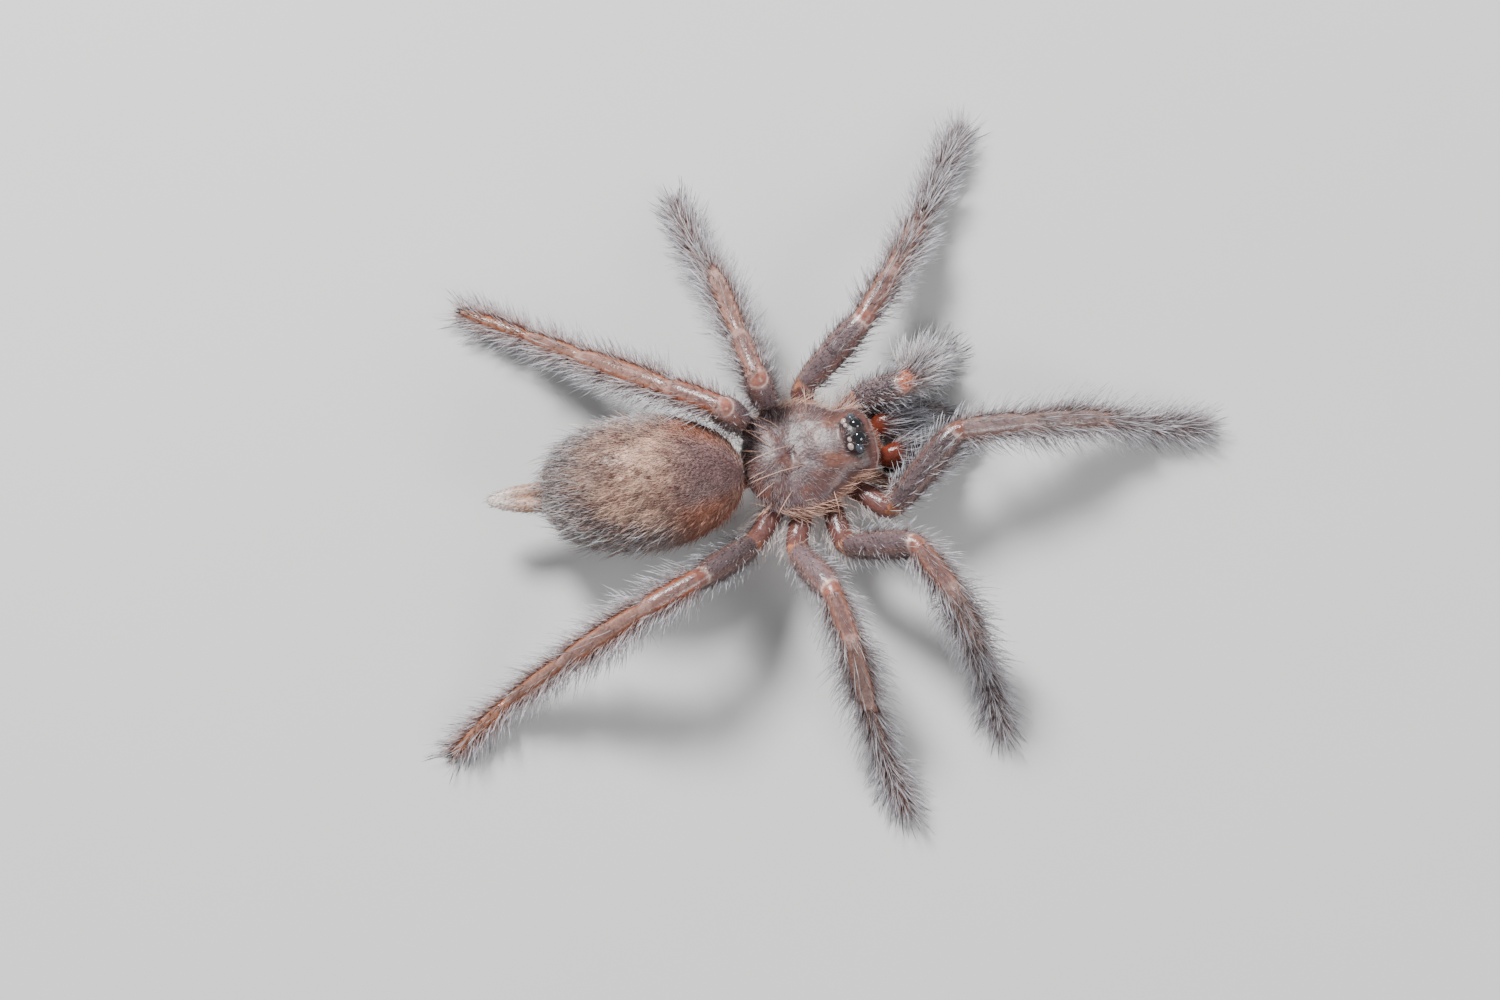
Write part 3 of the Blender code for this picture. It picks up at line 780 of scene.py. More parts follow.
# How far the mound's middle lies below the solid's top, and how much it droops to its sides.
MOUND_SUNK = 0.42
MOUND_DROOP = 0.2
mound_places = to_body(corners("eye_tubercle"))
mound_low, mound_high = mound_places.min(axis=0), mound_places.max(axis=0)
MOUND = np.array(((mound_low[0] + mound_high[0]) / 2, 0, mound_high[2] - MOUND_SUNK))


def mound_place(point):
    """A unit sphere's point, moved to the low mound that carries the eyes."""
    return from_body(np.array(point) * MOUND_HALF + MOUND - (0, 0, MOUND_DROOP * point[1] ** 2))


def near_eyes(own):
    """1 close round the eyes, where the real mound is almost black."""
    dark = np.zeros(len(own))
    for along, across, radius, *_ in EYES.values():
        for sign in (-1, 1):
            far = np.hypot(own[:, 0] - MOUND[0] - along, own[:, 1] - sign * across)
            dark = np.maximum(dark, 1 - smooth_step(radius + 0.02, radius + 0.2, far))
    middle = 1 - smooth_step(0.3, 0.45, np.hypot(own[:, 0] - MOUND[0] + 0.05, own[:, 1]))
    return np.maximum(dark, middle) * (own[:, 2] > 0.5)


bm = bmesh.new()
bm.from_mesh(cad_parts["carapace"].data)
bmesh.ops.scale(bm, vec=(1 / MM,) * 3, verts=bm.verts)
bmesh.ops.remove_doubles(bm, verts=bm.verts, dist=0.002)
made = bmesh.ops.create_uvsphere(bm, u_segments=32, v_segments=20, radius=1)
for vertex in made["verts"]:
    vertex.co = mound_place(vertex.co)
print("the mound is", MOUND_HALF[1] * 2, "mm wide")

# %% Fuse and measure the shield
SHIELD_VOXEL = 0.055
shield_mesh = remeshed(bm, "shield", SHIELD_VOXEL, smoothing=5)
places, normals = (rows_of(shield_mesh.vertices, key) for key in ("co", "normal"))
own = to_body(places)
across = np.abs(own[:, 1])
RIM_STATIONS = np.linspace(own[:, 0].min(), own[:, 0].max(), 40)
RIM_HALF_WIDTHS = np.array([
    across[np.abs(own[:, 0] - station) < 0.12].max() for station in RIM_STATIONS])
RIM_HALF_WIDTHS[[0, -1]] *= 0.5
FRONT_STATIONS = np.linspace(0, across.max(), 30)
FRONT_REACH = np.array([
    own[np.abs(across - station) < 0.08, 0].max() for station in FRONT_STATIONS])


def outline_part(flat):
    """How far out a place lies on the shield's plan: 0 at its middle line and 1 at its rim."""
    return np.abs(flat[:, 1]) / np.interp(flat[:, 0], RIM_STATIONS, RIM_HALF_WIDTHS)


print("the shield is", round(RIM_HALF_WIDTHS.max() * 2, 2), "mm wide")

# %% Press the grooves and paint the shield
FOVEA = np.array((-0.75, 0.0))
FOVEA_DEPTH, GROOVE_DEPTH, DOWN_DEPTH = 0.05, 0.028, 0.03
GROOVE_ANGLES = np.radians((38, 78, 112, 146))
SHIELD_TONE = np.array((0.115, 0.057, 0.053))
SHIELD_SHADE = 0.84


def groove_depth(flat):
    """How deep the shield is pressed at each place on its plan."""
    out = flat - FOVEA
    far = np.linalg.norm(out, axis=1)
    angle = np.abs(np.arctan2(out[:, 1], out[:, 0]))
    depth = FOVEA_DEPTH * np.exp(-((out[:, 0] / 0.13) ** 2) - (out[:, 1] / 0.28) ** 2)
    for groove in GROOVE_ANGLES:
        aside = far * np.sin(np.clip(np.abs(angle - groove), 0, math.pi / 2))
        depth += GROOVE_DEPTH * np.exp(-((aside / 0.22) ** 2)) * smooth_step(0.2, 0.8, far) * (
            1 - smooth_step(1.3, 2.3, far))
    return depth


def shield_colours(own):
    """Purple-brown with a painted sheen along the crest behind the eyes, darker in the grooves,
    rust on the head's sides and pale at the front rim.
    """
    x, y, flat, spots = own[:, 0], np.abs(own[:, 1]), own[:, :2], own * (1, 1, 0)
    # A painted sheen: lighter along the crest behind the eyes, where a highlight lies.
    painted_ridge_sheen = np.exp(-(((x - 0.7) / 0.75) ** 2) - ((y - 0.1) / 0.35) ** 2)
    rust = np.exp(-(((x - 1.1) / 1.0) ** 2) - ((y - 0.8) / 0.33) ** 2)
    patches = smooth_step(0.0, 0.9, ripple(spots, 0.7, 13))
    lilac = smooth_step(0.1, 1.0, ripple(spots, 0.6, 14)) * (1 - rust)
    to_front = np.interp(y, FRONT_STATIONS, FRONT_REACH) - x
    return tinted(np.tile(SHIELD_TONE, (len(own), 1)), [
        ("painted_ridge_sheen", painted_ridge_sheen * 0.8),
        ("head_rust", rust * (0.75 + 0.4 * ripple(spots, 0.5, 12))),
        ("patch", patches * 0.45),
        ("lilac", lilac * 0.6),
        ("edge", smooth_step(0.86, 0.97, outline_part(flat)) * 0.6),
        ("face", (1 - smooth_step(0.15, 0.4, to_front)) * 0.7),
        ("front_rim", (1 - smooth_step(0.04, 0.1, to_front)) * (x > 1.2)),
        ("groove", groove_depth(flat) * 12),
    ])


upper = smooth_step(0.1, 0.4, own[:, 2])
on_mound = ((own - MOUND) / MOUND_HALF / 1.15) ** 2
on_mound = 1 - smooth_step(0.8, 1.2, on_mound[:, 0] + on_mound[:, 1])
pressed = groove_depth(own[:, :2]) * upper
uneven = 0.003 * ripple(places, 0.45, 8) * upper
inset = DOWN_DEPTH + (pressed - uneven) * (1 - on_mound)
places = places - normals * inset[:, None]
shield_mesh.vertices.foreach_set("co", places.ravel())
shield_mesh.update()
shade = 1 + 0.12 * ripple(places, 0.4, 9)
shield_tones = shield_colours(own) * shade[:, None] * SHIELD_SHADE
paint(shield_mesh, tinted(shield_tones, [("mound", near_eyes(own) * 0.95)]))
shield_places, shield_normals = (rows_of(shield_mesh.vertices, key) for key in ("co", "normal"))
shield_quads = rows_of(shield_mesh.polygons, "vertices", 4, int)
finish_mesh(shield_mesh, SHIELD)
new_piece("shield", shield_mesh, ("carapace", "eye_tubercle"))
print("the shield has", len(shield_quads) * 2, "triangles")

# %% [markdown]
# ## The eyes
# A tarantula has eight small eyes on one mound behind the front rim. The middle front pair are the
# largest, round and black. The outer front pair are ovals with a blue-grey shine, and the four
# rear ones are small and pale. Each is a low glass dome sunk in the mound, as the real lens is in
# its socket.

# %% Set the eyes
EYE_TONES = {
    "eye_black": (0.004, 0.004, 0.006), "eye_grey": (0.045, 0.055, 0.07),
    "eye_amber": (0.4, 0.3, 0.28),
}
# A wet lens is dark and smooth, with a hard clear coat and a faint clouding inside.
EYE_FINISH = {
    name: cuticle_material(name, 0.04, 0.25, 0.02, scale=5000.0, colour=tone, coat=1.0,
                           coat_roughness=0.03)
    for name, tone in EYE_TONES.items()
}
for eye, (along, across, radius, oval, finish) in EYES.items():
    for side, sign in SIDES:
        plan = np.array((along, sign * across)) / MOUND_HALF[:2]
        crown = math.sqrt(max(1 - plan @ plan, 0.05)) * MOUND_HALF[2] - MOUND_DROOP * plan[1] ** 2
        middle = MOUND + (along, sign * across, crown - radius * 0.5)
        outward = unit(np.array((along * 1.6, sign * across * 0.9, 0.75)))
        bm = bmesh.new()
        bmesh.ops.create_uvsphere(bm, u_segments=24, v_segments=16, radius=radius)
        bmesh.ops.scale(bm, vec=(1, oval, 0.8), verts=bm.verts)
        lean = Vector((0, 0, 1)).rotation_difference(Vector(outward)).to_matrix().to_4x4()
        bmesh.ops.transform(bm, matrix=lean, verts=bm.verts)
        for vertex in bm.verts:
            vertex.co = from_body(np.array(vertex.co) + middle)
        mesh = mesh_from(bm, f"eye_{eye}_{side}")
        finish_mesh(mesh, EYE_FINISH[finish])
        new_piece(mesh.name, mesh)
print("eight eyes, the largest", EYES["front_middle"][2] * 2, "mm across")

# %% [markdown]
# ## Fangs and claws
# The fangs are folded hooks under the jaws and keep the frame's own solids, with a horn finish.
# Each foot ends in two tiny curved claws between its hair pads. One claw is a cone bent along an
# arc, and the same claw is placed sixteen times.

# %% Finish the fangs and grow the claws
CLAW_LENGTH = 0.3
CLAW_GIRTH = 0.05
CLAW_CURL = math.radians(75)
# Where a claw's root lies from the foot's tip: ahead, to each side and up.
CLAW_AHEAD, CLAW_ASIDE, CLAW_UP = 0.1, 0.07, 0.03
for side in ("left", "right"):
    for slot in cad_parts[f"fang_{side}"].material_slots:
        slot.material = HORN


def claw_template():
    """A cone of eight rings, curled down along an arc."""
    bm = bmesh.new()
    bmesh.ops.create_cone(
        bm, cap_ends=True, segments=10, radius1=CLAW_GIRTH, radius2=0.006, depth=CLAW_LENGTH
    )
    slanted = [edge for edge in bm.edges
               if abs(edge.verts[0].co.z - edge.verts[1].co.z) > CLAW_GIRTH]
    bmesh.ops.subdivide_edges(bm, edges=slanted, cuts=6, use_grid_fill=True)
    for vertex in bm.verts:
        angle = (vertex.co.z / CLAW_LENGTH + 0.5) * CLAW_CURL
        along = math.sin(angle) / CLAW_CURL * CLAW_LENGTH + vertex.co.x * math.sin(angle)
        down = (math.cos(angle) - 1) / CLAW_CURL * CLAW_LENGTH + vertex.co.x * math.cos(angle)
        vertex.co = (along, vertex.co.y, down)
    bmesh.ops.recalc_face_normals(bm, faces=bm.faces)
    return mesh_from(bm, "claw")


one_claw = claw_template()
bm = bmesh.new()
for limb in LEGS:
    ankle, tip = JOINTS[limb][-2:]
    turn = upright(unit((tip - ankle) * (1, 1, 0)))
    for aside in (-CLAW_ASIDE, CLAW_ASIDE):
        already = len(bm.verts)
        bm.from_mesh(one_claw)
        bm.verts.ensure_lookup_table()
        root = tip + turn[0] * CLAW_AHEAD + turn[1] * aside + (0, 0, CLAW_UP)
        for vertex in bm.verts[already:]:
            vertex.co = root + np.array(vertex.co) @ turn
lowest = min(vertex.co.z for vertex in bm.verts)
claw_mesh = mesh_from(bm, "claws")
finish_mesh(claw_mesh, HORN)
new_piece("claws", claw_mesh)
print("sixteen claws, the lowest at", round(lowest, 3), "mm")

# %% [markdown]
# ## One hair, many times
# A hair is a three-sided spike of a few faces, made once as a bmesh cone. Particles and curves
# would be lost on export, so a hundred thousand copies are bent, turned and joined here as plain
# mesh, with numpy doing all copies at once. Each hair also gets a tiny patch of its own on the map
# OFBake, at its root's place on an unrolled skin, so that a baked picture of its colours stays
# sharp.


# %% Make the hair template
def hair_template(cuts):
    """A unit spike: corners as across, up and along, faces, and each face corner's place on a
    patch."""
    bm = bmesh.new()
    bmesh.ops.create_cone(bm, cap_ends=True, segments=3, radius1=1, radius2=0.5, depth=1)
    top = [face for face in bm.faces if face.calc_center_median().z > 0.49]
    bmesh.ops.delete(bm, geom=top, context="FACES_ONLY")
    bm.verts.ensure_lookup_table()
    rim = [vertex for vertex in bm.verts if vertex.co.z > 0]
    bmesh.ops.pointmerge(bm, verts=rim, merge_co=(0, 0, 0.5))
    slanted = [edge for edge in bm.edges if abs(edge.verts[0].co.z - edge.verts[1].co.z) > 0.5]
    bmesh.ops.subdivide_edges(bm, edges=slanted, cuts=cuts, use_grid_fill=True)
    bmesh.ops.recalc_face_normals(bm, faces=bm.faces)
    bm.verts.index_update()
    points, faces, patch = [], [], []
    for vertex in bm.verts:
        along = vertex.co.z + 0.5
        flat = unit(np.array(vertex.co.xy)) if along < 0.99 else np.zeros(2)
        points.append((*flat, along))
    for face in bm.faces:
        faces.append([vertex.index for vertex in face.verts])
        middle = face.calc_center_median()
        turned = math.atan2(middle.y, middle.x)
        strip = round((turned + math.pi) / (2 * math.pi) * 3) % 3
        is_cap = abs(face.normal.z) > 0.9
        for vertex in face.verts:
            along = vertex.co.z + 0.5
            aside = math.atan2(vertex.co.y, vertex.co.x) - turned if along < 0.99 else 0
            aside = (aside + math.pi) % (2 * math.pi) - math.pi
            u = (strip + 0.5 + aside / (2 * math.pi / 3)) / 3 - 0.5
            if is_cap:
                u, along = vertex.co.x * 0.3, -0.15 + vertex.co.y * 0.1
            patch.append((u, along - 0.5))
    bm.free()
    return np.array(points), faces, np.array(patch)


SHORT_HAIR = hair_template(1)
LONG_HAIR = hair_template(2)
print("a short hair has", len(SHORT_HAIR[1]), "faces and a long one", len(LONG_HAIR[1]))


# %% Scatter the roots and grow a layer
# The side of a hair's patch on its bake map, whose own side is 1.
PATCH = 0.003
# In millimetres: how deep a hair is rooted, and how low it may come over the floor.
ROOT_DEPTH, FLOOR_GAP = 0.02, 0.012
# The share of its girth that a hair loses by its tip, and how unevenly hairs rise, in degrees.
TAPER, UNEVEN_RISE = 0.35, 8


def scattered(places, quads, density):
    """Random places on quads, density to the square millimetre: quads and corner weights."""
    a, b, c, d = (places[quads[:, corner]] for corner in range(4))
    area = np.linalg.norm(np.cross(c - a, d - b), axis=1) / 2
    counts = (area * density + chance.uniform(size=len(quads))).astype(int)
    chosen = np.repeat(np.arange(len(quads)), counts)
    s, t = chance.uniform(size=(2, len(chosen), 1))
    return chosen, np.hstack([(1 - s) * (1 - t), s * (1 - t), s * t, (1 - s) * t])


def at_corners(values, quads, chosen, weights):
    """What the corners of the chosen quads hold, mixed by their weights."""
    return (values[quads[chosen]] * weights[:, :, None]).sum(axis=1)


def grow(template, roots, normals, lie, length, girth, raised, curl, root_tone, tip_tone, spots,
         stray=14):
    """One layer of hairs as arrays. raised is the angle from the skin in degrees at the root, curl
    how much of it is lost by the tip, and stray how far the hairs turn aside at random."""
    points, faces, patch = template
    count = len(roots)
    normals = unit(normals)
    lie = unit(lie - normals * (lie * normals).sum(axis=1, keepdims=True))
    side = np.cross(normals, lie)
    aside = np.radians(chance.normal(0, stray, size=(count, 1)))
    lie = lie * np.cos(aside) + side * np.sin(aside)
    side = np.cross(normals, lie)
    start = np.radians(raised + chance.normal(0, UNEVEN_RISE, size=count))
    curl = np.radians(curl)
    stations = np.unique(np.round(points[:, 2], 4))
    middles, headings = [roots - normals * ROOT_DEPTH], []
    for first, last in zip(stations, stations[1:]):
        angle = (start - curl * (first + last) / 2)[:, None]
        heading = lie * np.cos(angle) + normals * np.sin(angle)
        middles.append(middles[-1] + heading * (length * (last - first))[:, None])
        headings.append(heading)
    headings.append(headings[-1])
    corners_of, tones = np.empty((2, count, len(points), 3))
    for index, (across, upward, along) in enumerate(points):
        station = int(np.abs(stations - along).argmin())
        above = np.cross(headings[station], side)
        thick = (girth * (1 - TAPER * along))[:, None]
        corners_of[:, index] = middles[station] + (side * across + above * upward) * thick
        tones[:, index] = root_tone + (tip_tone - root_tone) * along
    corners_of[:, :, 2] = np.maximum(corners_of[:, :, 2], FLOOR_GAP)
    loops = np.concatenate(faces)[None] + np.arange(count)[:, None] * len(points)
    maps = spots[:, None] + patch[None] * PATCH
    return dict(corners=corners_of.reshape(-1, 3), tones=tones.reshape(-1, 3), loops=loops.ravel(),
                sizes=np.tile([len(face) for face in faces], count), maps=maps.reshape(-1, 2))


print("a hair's patch is", PATCH, "of its bake map's side")


# %% Plant a piece
def plant(name, layers, material):
    """Joins layers of hairs into one piece with its paint and its bake map."""
    places, tones, sizes, maps = (
        np.concatenate([layer[key] for layer in layers])
        for key in ("corners", "tones", "sizes", "maps"))
    offsets = np.cumsum([0] + [len(layer["corners"]) for layer in layers])
    loops = np.concatenate([layer["loops"] + offset for layer, offset in zip(layers, offsets)])
    mesh = bpy.data.meshes.new(name)
    mesh.vertices.add(len(places))
    mesh.vertices.foreach_set("co", (places * MM).astype(np.float32).ravel())
    mesh.loops.add(len(loops))
    mesh.loops.foreach_set("vertex_index", loops.astype(np.int32))
    mesh.polygons.add(len(sizes))
    mesh.polygons.foreach_set("loop_start", (np.cumsum(sizes) - sizes).astype(np.int32))
    mesh.update(calc_edges=True)
    mesh.shade_smooth()
    uv = mesh.uv_layers.new(name="OFBake")
    uv.uv.foreach_set("vector", maps.astype(np.float32).ravel())
    paint(mesh, tones)
    mesh.materials.append(material)
    new_piece(name, mesh)
    triangles = int((sizes - 2).sum())
    print(name, triangles, "triangles")
    return triangles


coat_total = 0
print("planted so far:", coat_total, "triangles")

# %% [markdown]
# ## The finish of a hair
# A hair is a thin glossy fibre, darker at its root and lighter at its tip. Its colour comes from
# the paint laid on each corner, and a fine noise along the coat keeps neighbouring hairs from
# looking alike.


# %% Build the hair material
def hair_material(name, roughness, variation):
    """Painted hair, with its colour made lighter and darker by a noise."""
    made, tree, shader = new_material(name)
    painted = add_node(tree, "ShaderNodeAttribute", attribute_name="paint").outputs["Color"]
    where = add_node(tree, "ShaderNodeTexCoord").outputs["Object"]
    noise = add_node(tree, "ShaderNodeTexNoise", {"Vector": where, "Scale": 4000.0, "Detail": 2.0})
    spread = add_node(tree, "ShaderNodeMapRange", {
        "To Min": 1 - variation, "To Max": 1 + variation, "Value": noise.outputs["Fac"]})
    varied = multiplied(tree, 1.0, painted, spread.outputs["Result"])
    feed(tree, shader, {"Base Color": varied, "Roughness": roughness})
    return made


FINE_HAIR = hair_material("fine_hair", 0.42, 0.35)
print("one finish for every hair:", FINE_HAIR.name)

# %% [markdown]
# ## The coat of the legs
# On seven of the legs the backs of the hips, thighs, knees and shins are thinly covered or bare,
# so that their smooth skin shows. The leg that has grown back is furry all over. The hips carry a
# few thin pale combs, and the coat is thickest and most silvery on the feet. Longer bristles stand
# out from the flanks and slope to the foot. Each leg's coat is one piece, so that none grows too
# large.

# %% Fill in the coat's table
COAT_NAMES = ("short", "short_length", "short_rise", "long", "long_length", "long_rise")
# For each piece: short hairs to the square millimetre, their length and their rise in degrees, then
# the same for its long hairs.
COAT = {
    "coxa": (5, 0.3, 50, 44, 0.85, 66),
    "trochanter": (5, 0.3, 50, 46, 0.8, 66),
    "femur": (190, 0.27, 24, 26, 0.8, 56),
    "patella": (200, 0.42, 36, 48, 1.15, 60),
    "tibia": (210, 0.5, 40, 62, 1.3, 58),
    "metatarsus": (270, 0.52, 42, 78, 1.25, 58),
    "tarsus": (340, 0.55, 48, 115, 1.15, 62),
    "palp_coxa": (90, 0.32, 32, 20, 0.5, 50),
    "palp_femur": (180, 0.32, 30, 28, 0.6, 50),
    "palp_tibia": (200, 0.36, 32, 40, 0.7, 50),
    "palp_tarsus": (300, 0.36, 36, 50, 0.6, 48),
    "jaw": (170, 0.46, 24, 60, 1.35, 24),
    "breast": (90, 0.22, 28, 10, 0.4, 50),
    "flank": (80, 0.3, 34, 14, 0.5, 50),
    "pedicel": (60, 0.2, 30, 6, 0.3, 40),
    "spinneret": (120, 0.2, 22, 14, 0.34, 30),
}
# How bare the backs of the pieces are: the hips of every leg, and the rest for each pair.
BARE_HIPS = {"coxa": 0.75, "trochanter": 0.75}
BARE_BACKS = {
    "1": {"femur": 0.66, "patella": 0.93, "tibia": 0.9, "metatarsus": 0.35},
    "2": {"femur": 0.72, "patella": 0.88, "tibia": 0.72, "metatarsus": 0.1},
    "3": {"femur": 0.72, "patella": 0.95, "tibia": 0.94, "metatarsus": 0.6, "tarsus": 0.3},
    "4": {"femur": 0.72, "patella": 0.96, "tibia": 0.96, "metatarsus": 0.94, "tarsus": 0.85},
}
SILVER = np.array((0.76, 0.79, 0.86))
DARK_ROOT = np.array((0.2, 0.165, 0.16))
PALE_PINK = np.array((0.92, 0.8, 0.77))
THIGH_TIP = np.array((0.4, 0.355, 0.38))
# The regrown leg's hairs are this much denser, longer and more silvery.
REGROWN_DENSER, REGROWN_LONGER, REGROWN_SILVER = 1.35, 1.08, 1.25


def coat_value(region, name):
    """One column of the coat's table for each row's region."""
    column = COAT_NAMES.index(name)
    values = np.zeros(len(region))
    for key, row in COAT.items():
        values[region == key] = row[column]
    return values


print("the coat's table has", len(COAT), "regions")


# %% Root the coat
def chart_spots(about, numbers):
    """Each root's place on the unrolled skin: one upright strip for each form in the piece."""
    strip = np.searchsorted(numbers, about["number"])
    u = (strip + 0.06 + 0.88 * (about["around"] / (2 * math.pi) + 0.5)) / len(numbers)
    return np.stack([u, 0.02 + 0.96 * about["along"]], axis=1)


skin_middles = skin_places[skin_quads].mean(axis=1)
quad_about = describe(skin_middles)
quad_owner = owner_of(quad_about)


def rooted(mask, density):
    """Roots on the part of the skin that mask picks, described, with their normals."""
    picked = skin_quads[mask]
    chosen, weights = scattered(skin_places, picked, density[mask])
    roots = at_corners(skin_places, picked, chosen, weights)
    return describe(roots), at_corners(skin_normals, picked, chosen, weights)


def coat_density(kind, backs):
    """Short or long hairs to the square millimetre on each face of the skin."""
    region, side = quad_about["region"], np.abs(quad_about["around"])
    bareness = np.zeros(len(region))
    for piece, share in backs.items():
        bareness[region == piece] = share
    bareness *= 1 - smooth_step(0.65, 1.1, side - 0.4 * (region == "femur"))
    regrown = quad_owner == REGROWN
    density = coat_value(region, kind) * (1 - bareness) * np.where(regrown, REGROWN_DENSER, 1)
    covered = np.where(quad_owner == "chelicera_left", 0.12, 0.0)
    jaw_base = (region == "jaw") * (1 - smooth_step(0.24, 0.42, quad_about["along"] + covered))
    knee = (region == "femur") * (quad_about["to_go"] < 0.1) * (side < 1.7)
    return density * (1 - jaw_base) * (1 - knee * np.where(regrown, 0.6, 1))


print(len(quad_owner), "faces of skin can carry hairs")


# %% Comb the legs
def coat_layer(mask, numbers, kind, backs):
    """Short or long hairs over the part of the skin that mask picks."""
    short = kind == "short"
    about, normals = rooted(mask, coat_density(kind, backs))
    region, side = about["region"], np.abs(about["around"])
    count = len(region)
    hip = np.isin(region, ("coxa", "trochanter", "palp_coxa", "flank"))
    regrown = (owner_of(about) == REGROWN) & ~np.isin(region, ("coxa", "trochanter", "femur"))
    below = smooth_step(2.2, 3.0, side)
    length = coat_value(region, f"{kind}_length") * chance.uniform(0.6, 1.3, size=count)
    length = length * np.where(regrown, REGROWN_LONGER, 1)
    length *= 1 - 0.55 * below * np.isin(region, ("tarsus", "metatarsus", "palp_tarsus"))
    rise = coat_value(region, f"{kind}_rise") + 25 * below
    skin_tone = markings(about)
    silver = SILVER * chance.uniform(0.65, 1.2, size=(count, 1))
    silver = silver * np.where(regrown, REGROWN_SILVER, 1.0)[:, None]
    thigh = np.isin(region, ("femur", "palp_femur")) * short
    # The thighs' hair tips share their lightness factor, painted light included.
    tip = blend(silver, THIGH_TIP * thigh_tone_and_painted_light(about)[:, None], thigh)
    tip = blend(tip, PALE_PINK, hip * 0.9)
    if short:
        tip = blend(tip, skin_tone * 1.3, chance.uniform(0.0, 0.6, size=count))
    root = blend(blend(skin_tone, DARK_ROOT, np.full(count, 0.5)), PALE_PINK, hip * 0.7)
    girth = chance.uniform(0.010, 0.014, size=count) * (1 if short else 1.3)
    girth = girth * np.where(hip, 0.5, 1)
    return grow(SHORT_HAIR if short else LONG_HAIR, about["places"], normals, about["ahead"],
                length, girth, rise, np.where(hip, 75, 12 if short else 26), root,
                np.clip(tip, 0, 1), chart_spots(about, numbers))


def coat_layers(mask, numbers, backs=None):
    """The short and the long hairs of one piece."""
    return [coat_layer(mask, numbers, kind, backs or {}) for kind in ("short", "long")]


for limb in LEGS + PALPS:
    backs = None
    if limb in LEGS and limb != REGROWN:
        backs = {**BARE_HIPS, **BARE_BACKS[limb.split("_")[1]]}
    layers = coat_layers(quad_owner == limb, np.flatnonzero(OWNERS == limb), backs)
    coat_total += plant(f"coat_{limb}", layers, FINE_HAIR)
print(coat_total, "triangles of hair on the limbs")

# %% [markdown]
# ## The coat of the jaws and the underside
# The jaws wear long silvery hairs combed forward over glossy red bases. The breast plate, the
# flanks under the shield and the two silk fingers have finer, shorter hair, all made by the same
# planter.

# %% Comb the jaws, the breast and the silk fingers
body_regions = ("jaw", "breast", "flank", "pedicel", "spinneret")
numbers = np.flatnonzero(np.isin([form["region"] for form in FORMS], body_regions))
layers = coat_layers(np.isin(quad_about["region"], body_regions), numbers)
coat_total += plant("coat_body", layers, FINE_HAIR)
print(coat_total, "triangles of hair with the jaws and the underside")

# %% [markdown]
# ## The belly's fur
# Fine hairs lie flat and backward over the whole belly, tan and brown mixed, and grow longer and
# bluish towards the spinnerets. Left and right halves are two pieces, to keep each one light.

# %% Comb the belly
BLUE_GREY = np.array((0.66, 0.7, 0.74))
CREAM = np.array((0.85, 0.7, 0.58))
BELLY_CURL = 14
# Each layer: hairs to the square millimetre, their length, template and rise in degrees.
BELLY_LAYERS = ((240, 0.27, SHORT_HAIR, 24), (18, 0.54, LONG_HAIR, 34))


def belly_layer(mask, numbers, density, mean_length, template, rise):
    """One layer of fur, longer and bluish behind and low down, and flecked with cream on top."""
    about, normals = rooted(mask, np.full(len(quad_owner), float(density)))
    along, side, count = about["along"], np.abs(about["around"]), len(about["along"])
    rear = 1 - smooth_step(0.05, 0.4, along)
    edge = smooth_step(0.65, 1.25, side) * (1 - smooth_step(0.5, 0.78, along))
    length = mean_length * (1 + 0.8 * rear + 0.45 * edge) * chance.uniform(0.7, 1.3, size=count)
    skin_tone = markings(about)
    saddle = np.exp(-(((along - 0.42) / 0.3) ** 2) - (side / 1.1) ** 2)
    fleck = chance.uniform(size=count) < 0.06 + 0.26 * saddle
    fleck = fleck * chance.uniform(0.4, 1.0, size=count)
    tip = blend(skin_tone * 1.65 + 0.02, CREAM, fleck * (0.35 + 0.65 * saddle))
    silvered = (chance.uniform(size=count) < 0.7) * 0.85 + 0.1
    blue_grey = BLUE_GREY * chance.uniform(0.6, 1.5, size=(count, 1))
    tip = blend(tip, blue_grey, (rear + edge) * silvered)
    girth = chance.uniform(0.011, 0.016, size=count)
    lie = -about["ahead"] + np.array((0, 0, -0.25))
    return grow(template, about["places"], normals, lie, length, girth, rise, BELLY_CURL,
                skin_tone * 0.85, np.clip(tip, 0, 1), chart_spots(about, numbers))


belly_side = (skin_middles - belly_middle) @ BELLY_TURN[1]
numbers = np.flatnonzero([form["region"] == "belly" for form in FORMS])
for side, sign in SIDES:
    mask = (quad_about["region"] == "belly") & (belly_side * sign > 0)
    layers = [belly_layer(mask, numbers, *row) for row in BELLY_LAYERS]
    coat_total += plant(f"coat_belly_{side}", layers, FINE_HAIR)
print(coat_total, "triangles of hair so far")

# %% [markdown]
# ## The down of the shield
# Silvery down lies on the shield in streaks that run out from the fovea. Its rim wears a golden
# fringe that leans forward, and long golden bristles stand on its rear slope and beside its middle
# line. Each bristle is placed one by one, because on the real animal they are few and plain to see.

# %% Lay the down
DOWN_TIP = np.array((0.8, 0.7, 0.71))


def on_shield(density):
    """Roots on the shield with their normals and their places in the body's own millimetres."""
    chosen, weights = scattered(shield_places, shield_quads, density)
    roots = at_corners(shield_places, shield_quads, chosen, weights)
    normals = at_corners(shield_normals, shield_quads, chosen, weights)
    return roots, normals, to_body(roots)


def plan_spots(own):
    """Each root's place on the shield's plan, six millimetres across, on the bake map."""
    return 0.02 + 0.96 * (own[:, :2] + 3.0) / 6.0


